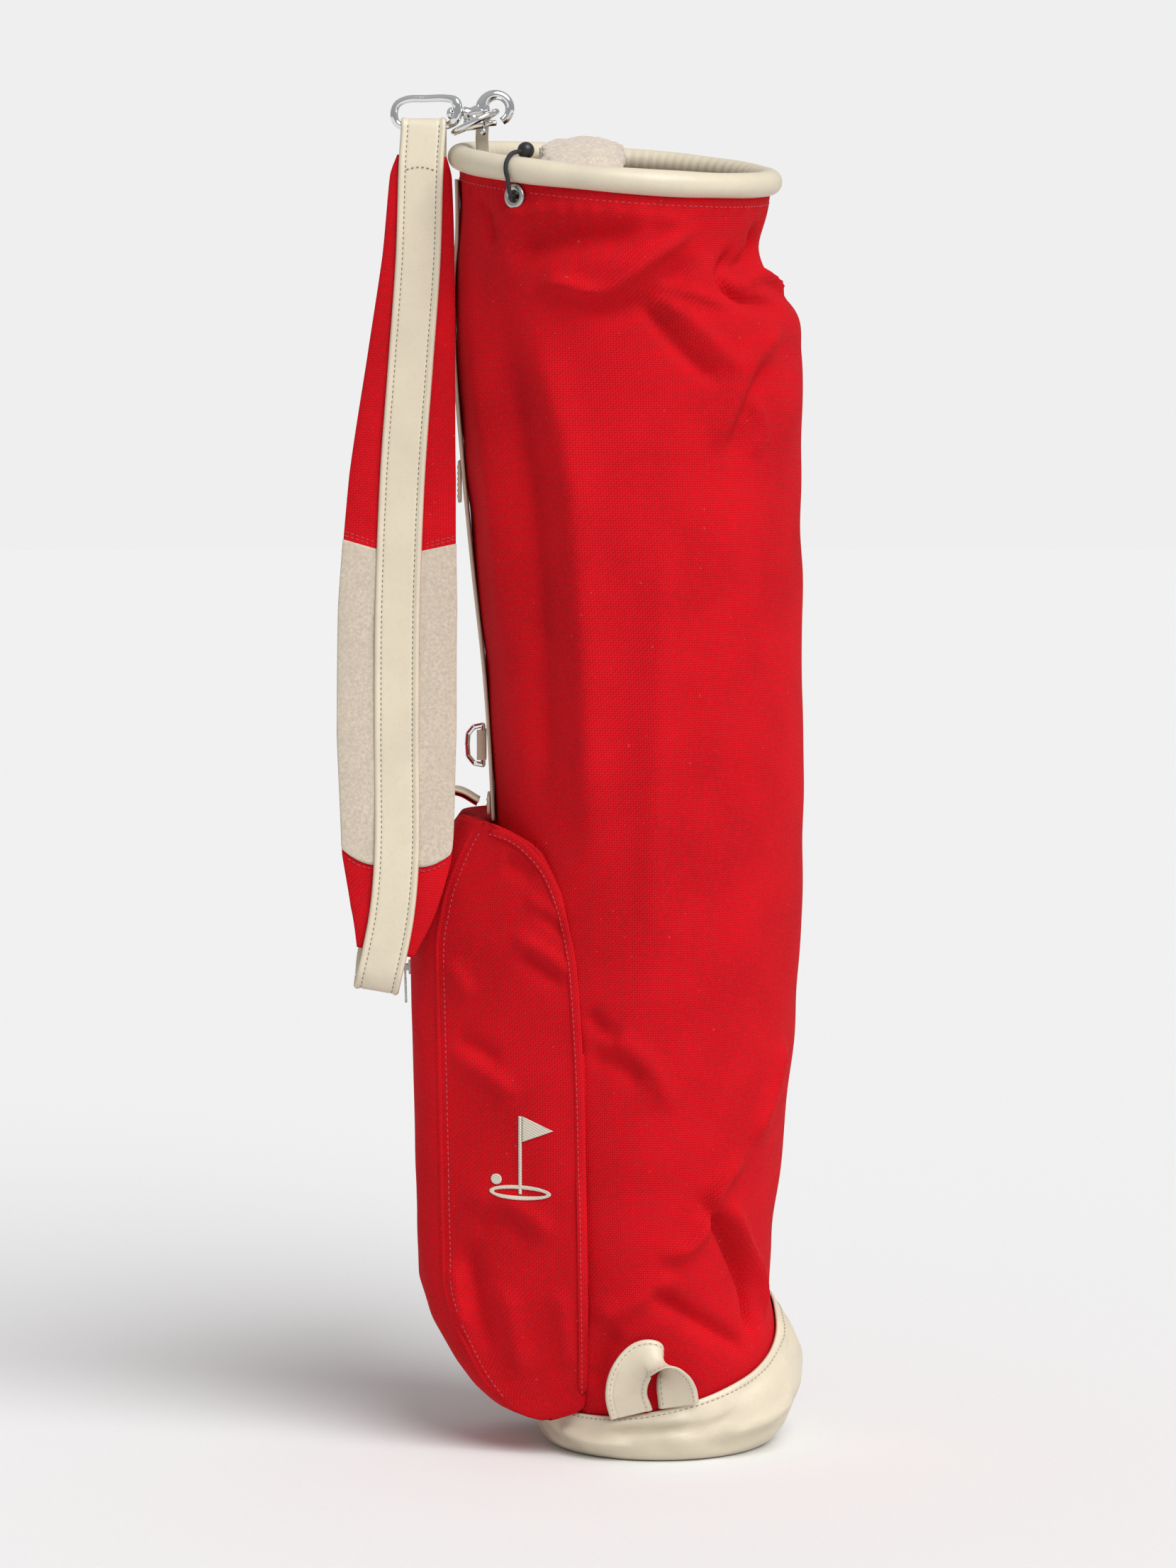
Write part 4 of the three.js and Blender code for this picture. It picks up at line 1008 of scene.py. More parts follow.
def boot_point(angle, radius, height):
    """A point of the boot: radius 100 is the tube's own, and heights run to BOOT["steps"] at the top edge."""
    cos, sin = np.cos(angle), np.sin(angle)
    top = boot_top(BOOT["x"] + cos * 84, sin * 86)
    z = np.where(height <= LEATHER, height, LEATHER + (height - LEATHER) / (BOOT["steps"] - LEATHER) * (top - LEATHER))
    left, right, depth = tube_section(z)
    share = np.clip(height / BOOT["steps"], 0, 1)
    bulge = BOOT["bulge"] * np.maximum(0, cos) * np.sin(math.pi * share)
    off = np.maximum(0, radius - 100) + np.where(radius > 100, bulge, 0)
    inner = np.minimum(1, radius / 100)
    x = (left + right) / 2 + inner * cos * ((right - left) / 2 + off)
    return np.stack([x, inner * sin * (depth + off), z], -1)


class BAG_OT_boot(Step, bpy.types.Operator):
    """The leather boot with its creases and stitched edge. The plate and pad in it keep their CAD shape and get their
    finish with the hidden parts
    """

    bl_idname = "bag.boot"
    bl_label = "Boot"

    def execute(self, context):
        columns, rows = 220, 96
        wall = np.array([(r, 0, h) for r, h in BOOT_WALL], float)
        profile, _ = route(wall, rows + 1)
        turns = np.linspace(-math.pi, math.pi, columns + 1)
        bm = lattice(columns, rows, lambda i, j: self.creased(turns[i], profile[j]), (True, False))
        bmesh.ops.recalc_face_normals(bm, faces=bm.faces)
        boot = piece("boot_shell", bm, "bag", cream_leather(), ["boot_leather"])
        outward = np.stack([np.cos(turns), np.sin(turns), turns * 0], -1)
        spots = self.creased(turns, np.array([(104.35, 0, 55.0)] * len(turns)))
        stitches("boot_stitching", spots, outward, "bag", boot_thread())
        return {"FINISHED"}

    def creased(self, angle, profile):
        radius, height = profile[..., 0], profile[..., 2]
        spots = boot_point(angle, radius, height)
        flat = np.stack([angle * 100, spots[..., 2]], -1)
        total = np.zeros(np.shape(angle))
        for near in (True, False):
            laid = [
                (h, w, [(float(tube_angle(x, 40.0, near)) * 100, z) for x, z in line])
                for h, w, line in BOOT_CREASES
            ]
            side = smoothstep(-angle if near else angle, -0.1, 0.15)
            total += side * fold_height(flat, laid)
        total = np.maximum(total + ripples(flat[..., 0], flat[..., 1], 21, 1.0, 80, 24), -3.0)
        held = smoothstep(spots[..., 2], 1, 9) * smoothstep(60 - height, -3, 12) * (radius > 99)
        outward = np.stack([np.cos(angle), np.sin(angle), angle * 0], -1)
        return spots + outward * (total * held)[..., None]


# ---------- the pouch's surface ----------


def pouch_place(x, share, z):
    """The pouch's skin: x of its flat outline, and a share of its half depth from -1 near to 1 far."""
    flare = 0.14 + (0.404 - 0.14) * smoothstep(z, 20, 140)
    half = 54 + flare * (x + 137)
    back = -43 + (x + 43) * (1 - 0.2 * np.minimum(1, share**4))
    return np.stack([back, share * half, z + 0 * x], -1)


def pouch_skin(t, z):
    """t runs from -1 at the near seam on the tube, round the front at 0, to 1 at the far one."""
    front = np.interp(z, *POUCH_FRONT.T)
    back = np.interp(z, *POUCH_BACK.T)
    share = np.clip(t * 2, -1, 1)
    inward = np.clip(np.abs(t) * 2 - 1, 0, 1)
    spots = pouch_place(front + (back - front) * inward, share, z)
    tall = np.sin(math.pi * np.clip((z - 30) / 392, 0, 1))
    puff = 3.5 * np.sin(math.pi * inward) * tall**0.7
    spots[..., 1] += np.sign(share) * puff
    return spots


POUCH_FOLDS = [
    (2.6, 6, [(-92, 352), (-78, 346), (-66, 339), (-51, 328)]),
    (-2.4, 6, [(-88, 340), (-70, 331), (-56, 320)]),
    (2.4, 7, [(-134, 271), (-114, 262), (-98, 252), (-87, 244)]),
    (-2.2, 7, [(-130, 282), (-112, 275), (-98, 266)]),
    (-2.0, 4, [(-74, 370), (-62, 361), (-53, 352)]),
    (1.8, 4, [(-82, 378), (-70, 372), (-60, 364)]),
    (-2.2, 7, [(-97, 401), (-86, 397), (-75, 392)]),
    (2.4, 8, [(-136, 333), (-127, 321), (-119, 308)]),
    (2.4, 9, [(-124, 168), (-102, 176), (-84, 168), (-62, 150)]),
    (-2.0, 9, [(-118, 155), (-98, 160), (-74, 148)]),
    (3.0, 6, [(-131, 130), (-128, 105), (-124, 82)]),
    (-2.4, 8, [(-121, 147), (-114, 105), (-105, 67)]),
    (2.2, 9, [(-98, 120), (-90, 84), (-84, 52)]),
    (1.8, 8, [(-62, 120), (-56, 90), (-52, 60)]),
]
POUCH_COLUMNS, POUCH_ROWS = 148, 150


class BAG_OT_pouch(Step, bpy.types.Operator):
    """The ball pouch: panels, front, seams with their stitches, and the zip"""

    bl_idname = "bag.pouch"
    bl_label = "Ball pouch"

    def execute(self, context):
        side, front = 42, POUCH_COLUMNS - 84
        t = np.concatenate([
            np.linspace(-1, -0.5, side, endpoint=False), np.linspace(-0.5, 0.5, front, endpoint=False),
            np.linspace(0.5, 1, side + 1),
        ])
        ends = np.array([25, 26, 27.5, 29.5, 32, 35])
        z = np.concatenate([ends, np.linspace(38, 418, POUCH_ROWS - 10), [420, 422, 424, 425.6, 427]])
        skin = lattice(len(t) - 1, len(z) - 1, lambda i, j: self.folded(pouch_skin(t[i], z[j])))
        share = np.linspace(-1, 1, front + 1)
        back = lattice(
            front, len(z) - 1, lambda i, j: pouch_place(np.interp(z[j], *POUCH_BACK.T), share[i], z[j])
        )
        bm = together(skin, back)
        bmesh.ops.remove_doubles(bm, verts=bm.verts, dist=2e-4)
        bmesh.ops.dissolve_degenerate(bm, edges=bm.edges, dist=1e-5)
        close_holes(bm)
        bmesh.ops.recalc_face_normals(bm, faces=bm.faces)
        for _ in range(3):
            bmesh.ops.smooth_vert(bm, verts=bm.verts, factor=0.5, use_axis_x=True, use_axis_y=True, use_axis_z=True)
        hidden = [v for v in bm.verts if self.inside_bag(v.co / MM) or self.in_zip(v.co / MM)]
        bmesh.ops.delete(bm, geom=hidden, context="VERTS")
        nodes = ["pouch_near", "pouch_far", "pouch_gusset"]
        self.pouch = piece("pouch_shell", bm, "bag", red_canvas(), nodes, CANVAS)
        self.seams()
        self.zip()
        return {"FINISHED"}

    def folded(self, spots):
        """The folds of the pouch's panels, laid on by height and x and pushed out sideways."""
        flat = spots[..., [0, 2]]
        across = np.abs(spots[..., 1]) / 50
        height = fold_height(flat, POUCH_FOLDS) + ripples(flat[..., 0], flat[..., 1], 12, 0.6, 110, 35)
        front = ripples(spots[..., 1], spots[..., 2], 14, 1.3, 120, 40)
        held = smoothstep(spots[..., 0], -160, -138) * smoothstep(-44 - spots[..., 0], 0, 12)
        spots = spots.copy()
        spots[..., 1] += np.sign(spots[..., 1]) * height * held * np.clip(across, 0, 1)
        spots[..., 0] += front * (1 - held) * smoothstep(across, 0.16, 0.5) * (spots[..., 0] < -100)
        return spots

    def inside_bag(self, p):
        left, right, depth = [float(c) for c in tube_section(np.array(p.z))]
        in_boot = p.z < boot_top(p.x, p.y)
        off = 5.5 if in_boot else -1.5
        x = (p.x - (left + right) / 2) / ((right - left) / 2 + off)
        return x * x + (p.y / (depth + off)) ** 2 < 1

    def in_zip(self, p):
        return abs(p.y) < 6.4 and p.x < -140 and ZIP["bottom"][1] < p.z < ZIP["top"][1]

    def seams(self):
        edge = [(-104, 420.5), (-92, 418), (-81, 411.5), (-67, 396), (-57, 372), (-50, 340), (-46.5, 300),
                (-44.5, 262), (-43, 198), (-42, 135), (-41.5, 80), (-41.5, 44)]
        line, _ = route([(x - 2.5, 0, z) for x, z in edge], 130)
        for side, name in ((1, "near"), (-1, "far")):
            spots, outward = on_surface(self.pouch, line * (1, side, 1), (0, side, 0))
            spots, outward = smoothed(spots), unit(smoothed(outward))
            welt(f"pouch_welt_{name}", spots, outward, 7, 1.3, "bag", red_canvas())
            along = tangents(spots)
            inward = np.cross(outward, along) * side
            inward *= np.where(inward[:, :1] > 0, -1, 1)
            stitches(
                f"pouch_stitching_{name}", spots + inward * 1.4 + outward * 1.1, outward, "bag", red_thread(),
            )
            self.corner(side, name)

    def corner(self, side, name):
        z = np.linspace(40, 420, 120)
        base = pouch_skin(np.full_like(z, -0.455 * side), z)
        spots, outward = on_surface(self.pouch, base + (2.5, 0, 0), (0.35, side, 0))
        spots, outward = smoothed(spots), unit(smoothed(outward))
        welt(f"corner_welt_{name}", spots, outward, 3.4, 0.9, "bag", red_canvas())
        beside, beside_out = on_surface(self.pouch, base + (7, 0, 0), (0.1, side, 0))
        beside = smoothed(beside)
        stitches(f"corner_stitching_{name}", beside, beside_out, "bag", red_thread())

    def zip(self):
        (top_x, top_z), (low_x, low_z) = ZIP["top"], ZIP["bottom"]
        top, low = np.array([top_x, 0, top_z]), np.array([low_x, 0, low_z])
        along = unit(top - low)
        out = np.array([-along[2], 0, along[0]])
        length = float(np.linalg.norm(top - low))
        share = np.linspace(0, length, 60)[:, None]
        for side, name in ((-1, "near"), (1, "far")):
            path = low + along * share + np.array([0, side * 4.6, 0]) - out * 0.7
            section = np.stack([circle(1, 16)[:, 0] * 4.2, circle(1, 16)[:, 1] * 0.45], -1)
            piece(
                f"zip_tape_{name}_woven", sweep(path, section, (0, 1, 0)), "bag", braided_black(),
                [f"zip_tape_{name}"],
            )
        bm = bmesh.new()
        pitch = 2.2
        for k, d in enumerate(np.arange(ZIP["stop"] + 1.5, length - ZIP["stop"] - 1.5, pitch)):
            side = 1 if k % 2 else -1
            spot = low + along * d + np.array([0, side * 0.55, 0]) - out * 0.1
            shape = np.eye(4)
            shape[:3, 0], shape[:3, 1], shape[:3, 2] = out * 1.3 * MM, (0, 1.9 * MM, 0), along * 1.5 * MM
            shape[:3, 3] = spot * MM
            made = bmesh.ops.create_cube(bm, size=1, matrix=Matrix(shape))
            edges = list({e for v in made["verts"] for e in v.link_edges})
            bmesh.ops.bevel(
                bm, geom=edges, offset=0.25 * MM, offset_type="OFFSET", segments=1, profile=0.5, affect="EDGES",
                material=-1,
            )
        piece("zip_chain", bm, "bag", black_moulding(), ["zip_teeth"])


def smoothed(values, turns=6):
    """Values along a line, evened out between neighbours. Its ends stay."""
    values = np.array(values, float)
    for _ in range(turns):
        values[1:-1] = values[1:-1] / 2 + (values[:-2] + values[2:]) / 4
    return values


class BAG_OT_motif(Step, bpy.types.Operator):
    """The embroidered motif: a flag in its hole, with a ball beside it"""

    bl_idname = "bag.motif"
    bl_label = "Embroidered motif"

    def execute(self, context):
        size = settings().motif
        parts = [
            self.patch(2, 40, lambda u, v: (0.02 + 0.035 * (u - 0.5), -0.46 + 0.92 * v)),
            self.patch(16, 20, lambda u, v: (0.045 + 0.36 * u, 0.46 - 0.30 * v - (0.15 - 0.30 * v) * u)),
            self.patch(48, 3, lambda u, v: self.oval(u, 0.36 - 0.05 * v, 0.085 - 0.045 * v, 0.02, -0.44)),
            self.patch(24, 6, lambda u, v: self.oval(u, 0.062 * v, 0.062 * v, -0.26, -0.30)),
        ]
        bm = together(*parts)
        for v in bm.verts:
            v.co = Vector((-87 * MM + v.co.x * size, -0.2, 206 * MM + v.co.y * size))
        spots, outward = on_surface(
            bpy.data.objects["pouch_shell"], [v.co / MM for v in bm.verts], (0, 1, 0)
        )
        for v, spot, n in zip(bm.verts, spots, outward):
            v.co = Vector((spot + n * 0.75) * MM)
        bmesh.ops.recalc_face_normals(bm, faces=bm.faces)
        if sum(f.normal.y for f in bm.faces) > 0:
            bmesh.ops.reverse_faces(bm, faces=bm.faces)
        piece("flag_motif", bm, "bag", satin_stitch(), thickness=0.9)
        return {"FINISHED"}

    def oval(self, u, wide, tall, x, y):
        return x + wide * np.cos(u * 2 * math.pi), y + tall * np.sin(u * 2 * math.pi)

    def patch(self, columns, rows, shape):
        def place(i, j):
            x, y = shape(i / columns, j / rows)
            return np.stack([x + 0 * j, y + 0 * i, 0 * x + 0 * y], -1) / MM

        bm = lattice(columns, rows, place, (True, False))
        bmesh.ops.recalc_face_normals(bm, faces=bm.faces)
        return bm


# ---------- the strap ----------


def strap_section(width, raised=0.8):
    """The strap's leather across: a flat middle, a groove for the stitches and a rolled edge."""
    side = np.linspace(-width / 2, width / 2, 46)
    edge = width / 2 - np.abs(side)
    top = 0.95 + raised * np.exp(-(((edge - 2.0) / 1.5) ** 2)) - 0.35 * np.exp(-(((edge - 4.6) / 0.7) ** 2))
    top = np.where(edge < 0.9, top - 0.7 * (1 - edge / 0.9), top)
    back = np.linspace(width / 2, -width / 2, 12)[1:-1]
    return np.concatenate([np.stack([side, top], -1), np.stack([back, np.full_like(back, -0.95)], -1)])


def strap_route(count):
    """The strap from behind the eye's bar, over it, down the front and round its fold."""
    bar_x = STRAP_TOP[0][0]
    over = 2.5 + 0.8 + LEATHER / 2
    round_bar = [
        (over, -32), (over, -12), (over, 0), (over * 0.71, over * 0.71), (0, over), (-over * 0.71, over * 0.71)
    ]
    start = [(bar_x, HOOK_Y + y, EYE_BAR_Z + z) for y, z in round_bar]
    return route(start + STRAP_TOP + [p[:3] for p in STRAP_PAD] + STRAP_FOLD, count)


class BAG_OT_strap(Step, bpy.types.Operator):
    """The shoulder strap: leather, padded canvas, suede patches, seams and the leg behind the pouch"""

    bl_idname = "bag.strap"
    bl_label = "Shoulder strap"

    def execute(self, context):
        path, station = strap_route(260)
        across = np.array([(1, 0, 0)] * len(path), float)
        fold = smoothstep(station, 16.5, 18)[:, None]
        across = across * (1 - fold) + np.array([1, 0, -0.2]) * fold
        wave = ripples(path[:, 2], path[:, 0] * 0, 31, 0.5, 170, 60)
        path = path + np.array([0, -1, 0]) * (wave * smoothstep(station, 8, 10) * (1 - fold[:, 0]))[:, None]
        leather = piece(
            "strap_band", sweep(path, strap_section(STRAP_WIDTH), across), "strap", cream_leather(),
            ["strap_leather"],
        )
        along = tangents(path)
        side = unit(across - along * (across * along).sum(1, keepdims=True))
        out = np.cross(along, side)
        front = station > 5.2
        for sign, name in ((-1, "left"), (1, "right")):
            line = path + side * sign * (STRAP_WIDTH / 2 - 4.6) + out * 0.62
            stitches(
                f"strap_stitching_{name}", line[front], out[front], "strap", olive_thread(), 3.4, 0.7
            )
        self.box_stitch(path, side, out)
        self.pad()
        self.leg()
        return {"FINISHED"}

    def box_stitch(self, path, side, out):
        """The row across the strap that closes its loop round the bar."""
        row = int(np.argmin(np.abs(path[:, 2] - 857) + 200 * (path[:, 1] > HOOK_Y)))
        share = np.linspace(-1, 1, 24)[:, None]
        line = path[row] + side[row] * share * (STRAP_WIDTH / 2 - 4.6) + out[row] * 1.0
        line = line + np.array([0, 0, 2.5]) * (1 - share**2)
        stitches(
            "strap_stitching_across", line, np.repeat(out[row : row + 1], 24, 0), "strap", olive_thread(),
            3.4, 0.7,
        )

    def pad_frame(self, count):
        points = [(*STRAP_TOP[1], STRAP_WIDTH + 3)] + STRAP_PAD
        path, station = route([p[:3] for p in points], count)
        width = np.interp(station, np.arange(len(points)), [p[3] for p in points])
        along = tangents(path)
        side = unit(np.array([1.0, 0, 0]) - along * along[:, :1])
        return path, width, side, np.cross(along, side)

    def pad_height(self, share):
        """The pad's front face by its share of the half width. It is pulled down at its edge."""
        return -3.7 + 2.5 * np.clip(1 - np.abs(share) ** 5, 0, 1) ** 0.5

    def pad(self):
        path, width, side, out = self.pad_frame(220)
        a = np.linspace(0, 2 * math.pi, 72, endpoint=False)
        share = np.sign(np.cos(a)) * np.abs(np.cos(a)) ** 0.7
        front = self.pad_height(share)
        height = np.where(np.sin(a) > 0, front, -7.4 - front)
        puff = ripples(path[:, 2:3] + 0 * a, share * 35 + 0 * path[:, :1], 33, 0.35, 60, 18)
        section = np.stack([share * width[:, None] / 2, height + puff * (1 - share**2)], -1)
        taper = smoothstep(np.arange(220), -6, 6)[:, None] * smoothstep(219 - np.arange(220), -6, 6)[:, None]
        section[..., 1] = -3.7 + (section[..., 1] + 3.7) * taper
        pad = piece(
            "shoulder_pad", sweep(path, section, side), "strap", red_canvas(),
            ["strap_pad_front", "strap_pad_foam", "strap_pad_back"],
        )
        self.suede(path, width, side, out)

    def suede(self, path, width, side, out):
        for sign, name in ((-1, "left"), (1, "right")):
            inner = STRAP_WIDTH / 2 - 1
            keep = (path[:, 2] < SUEDE_HIGH + 1) & (path[:, 2] > SUEDE_LOW - 1)
            p, w, s, o = path[keep], width[keep], side[keep], out[keep]
            columns, rows = 26, len(p) - 1

            def place(i, j):
                u = i / columns
                half = w[j] / 2 + 0.35
                reach = inner + (half - inner) * u
                share = np.clip(reach / (w[j] / 2), 0, 1)
                height = self.pad_height(share * 0.985) + 0.75
                slope = (1 - u) * np.clip(1 - j / 6, 0, 1) * -6
                round_low = np.clip((j - rows + 12) / 12, 0, 1) ** 2 * (u**2) * 9
                spot = p[j] + s[j] * (sign * reach)[..., None] + o[j] * height[..., None]
                spot[..., 2] += slope + round_low
                return spot

            bm = lattice(columns, rows, place)
            bmesh.ops.recalc_face_normals(bm, faces=bm.faces)
            if sum(f.normal.y for f in bm.faces) > 0:
                bmesh.ops.reverse_faces(bm, faces=bm.faces)
            piece(
                f"suede_patch_{name}", bm, "strap", napped_suede(), [f"strap_patch_{name}"],
                thickness=0.9,
            )
            for row, (z, gap) in enumerate(((SUEDE_HIGH, 2.5), (SUEDE_HIGH, 6), (SUEDE_LOW, -3.5))):
                k = int(np.argmin(np.abs(path[:, 2] - z - gap)))
                u = np.linspace(0.02, 0.97, 20)
                reach = inner + 2 + (width[k] / 2 - inner - 3) * u
                height = self.pad_height(reach / (width[k] / 2)) + 0.1
                line = path[k] + side[k] * (sign * reach)[:, None] + out[k] * height[:, None]
                if z == SUEDE_HIGH:
                    line[:, 2] += (1 - u) * -6
                else:
                    line[:, 2] += u**2 * 7
                stitches(
                    f"pad_stitching_{name}_{row}", line, np.repeat(out[k : k + 1], 20, 0), "strap", red_thread(),
                    3.6,
                )

    def leg(self):
        path, station = route([p for p, _ in STRAP_LEG], 120)
        across = np.stack([np.interp(station, np.arange(8), [a[k] for _, a in STRAP_LEG]) for k in range(3)], -1)
        piece(
            "strap_leg_band", sweep(path, strap_section(STRAP_WIDTH), across), "strap", cream_leather(),
            ["strap_leg_leather"],
        )
        along = tangents(path)
        side = unit(across - along * (across * along).sum(1, keepdims=True))
        out = np.cross(along, side)
        section = circle(1, 24) * (STRAP_WIDTH / 2, 0.6)
        behind = (path - out * 2.7)[14:]
        piece(
            "strap_leg_webbing", sweep(behind, section, across[14:]), "strap", red_canvas(),
            ["strap_leg_canvas"],
        )


class BAG_OT_spine(Step, bpy.types.Operator):
    """The leather strip down the left face, the strap's anchor, the handle and the towel ring"""

    bl_idname = "bag.spine"
    bl_label = "Spine and handle"

    def execute(self, context):
        z = np.linspace(424, 852, 150)
        flat = np.zeros_like(z)
        path = np.stack([left_face(z) - CANVAS / 2 - 0.4 - LEATHER / 2, flat, z], -1)
        strip = sweep(path, strap_section(40, 0.5), (0, 1, 0))
        piece("spine_strip", strip, "bag", cream_leather(), ["spine_leather"])
        for side, name in ((-1, "near"), (1, "far")):
            line = path + np.array([-0.75, side * 15.4, 0])
            outward = np.array([(-1.0, 0, 0)] * len(z))
            stitches(f"spine_stitching_{name}", line, outward, "bag", olive_thread())
        self.anchor()
        self.handle()
        self.towel()
        return {"FINISHED"}

    def anchor(self):
        low, high = [np.array(c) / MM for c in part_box("strap_anchor")]
        patch("strap_anchor_patch", low, high, ["strap_anchor"])

    def handle(self):
        high, low, rise, root = HANDLE["high"], HANDLE["low"], HANDLE["rise"], HANDLE["root"]
        width, end = HANDLE["width"], HANDLE["end"]
        stations = [
            (high - 3, 0, end), (high - 16, rise * 0.5, (width + end) / 2), (high - 38, rise * 0.88, width),
            ((low + high) / 2, rise, width), (low + 38, rise * 0.88, width),
            (low + 16, rise * 0.5, (width + end) / 2), (low + 3, 0, end),
        ]
        heights = np.array([s[0] for s in stations], float)
        base = left_face(heights) - CANVAS / 2 - 0.4 - LEATHER - root
        points = [(b - out, 0, z) for b, (z, out, _) in zip(base, stations)]
        path, station = route(points, 110)
        wide = np.interp(station, np.arange(7), [s[2] for s in stations])[:, None]
        nodes = {"handle_grip_outer": (2.2, ["handle_outer", "handle_core"]), "handle_grip_inner": (-2.2, ["handle_inner"])}
        for name, (height, stands_for) in nodes.items():
            side = np.linspace(-1, 1, 26)
            crown = 1.5 * (1 - side**2) if height > 0 else 0 * side
            top = np.stack([side * wide / 2, height + 0.8 + crown + 0 * wide], -1)
            bottom = np.stack([-side * wide / 2, height - 0.8 + 0 * wide * side], -1)
            grip = sweep(path, np.concatenate([top, bottom], 1), (0, -1, 0))
            grip = piece(name, grip, "handle", cream_leather(), stands_for)
        for z, name in ((high + 6, "top"), (low - 6, "bottom")):
            node = f"handle_patch_{name}"
            low_corner, high_corner = [np.array(c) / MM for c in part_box(node)]
            patch(f"handle_mount_{name}", low_corner, high_corner, [node])
        along = tangents(path)
        out = np.cross(along, (0, -1, 0))
        for side in (-1, 1):
            line = path + np.array([0, side, 0]) * (wide / 2 - 3) + out * 3.5
            stitches(
                f"handle_stitching_{'near' if side < 0 else 'far'}", line[8:-8], out[8:-8], "handle",
                olive_thread(),
            )

    def towel(self):
        ring = frame["nodes"]["towel_ring"]
        smooth_node(ring, polished_chrome())
        tab = frame["nodes"]["towel_tab"]
        smooth_node(tab, cream_leather(), 0.5)


def left_face(z):
    return tube_section(z)[0]


def patch(name, low, high, stands_for):
    """A stitched block of leather between two corners, with rounded edges, facing -X."""
    bm = bmesh.new()
    middle, size = (low + high) / 2, high - low
    bmesh.ops.create_cube(bm, size=1, matrix=Matrix.Translation(Vector(middle) * MM) @ Matrix.Diagonal((*(size * MM), 1)))
    ends = [e for e in bm.edges if abs(e.verts[0].co.x - e.verts[1].co.x) > size[0] * MM * 0.5]
    bevel(bm, ends, 3.5, 5)
    rim = [e for e in bm.edges if all(v.co.x < (low[0] + 0.1) * MM for v in e.verts) and len(e.link_faces) == 2]
    bevel(bm, rim, 0.7, 3)
    piece(name, bm, "bag", cream_leather(), stands_for)
    inset = 3.2
    y, z = [(high[k] - low[k]) / 2 - inset for k in (1, 2)]
    corners = [(-y, -z), (y, -z), (y, z), (-y, z), (-y, -z)]
    line = np.concatenate([np.linspace(a, b, 20, endpoint=False) for a, b in zip(corners, corners[1:])])
    path = np.stack([0 * line[:, 0] + low[0] + 0.1, line[:, 0] + middle[1], line[:, 1] + middle[2]], -1)
    outward = np.array([(-1.0, 0, 0)] * len(path))
    stitches(f"{name}_stitching", path, outward, "bag", olive_thread())


def bevel(bm, edges, width, segments):
    bmesh.ops.bevel(
        bm, geom=edges, offset=width * MM, offset_type="OFFSET", segments=segments, profile=0.5,
        affect="EDGES", material=-1,
    )


def smooth_node(obj, finish, width=0.35):
    """Gives a CAD node its finish, and softens its edges without changing its own mesh."""
    for k in range(len(obj.material_slots)):
        obj.material_slots[k].material = finish
    if width:
        weld = obj.modifiers.new("Weld", "WELD")
        weld.merge_threshold = 1e-5
        soft = obj.modifiers.new("Bevel", "BEVEL")
        soft.width, soft.segments, soft.limit_method = width * MM, 2, "ANGLE"
        soft.angle_limit = math.radians(35)
        soft.harden_normals = False


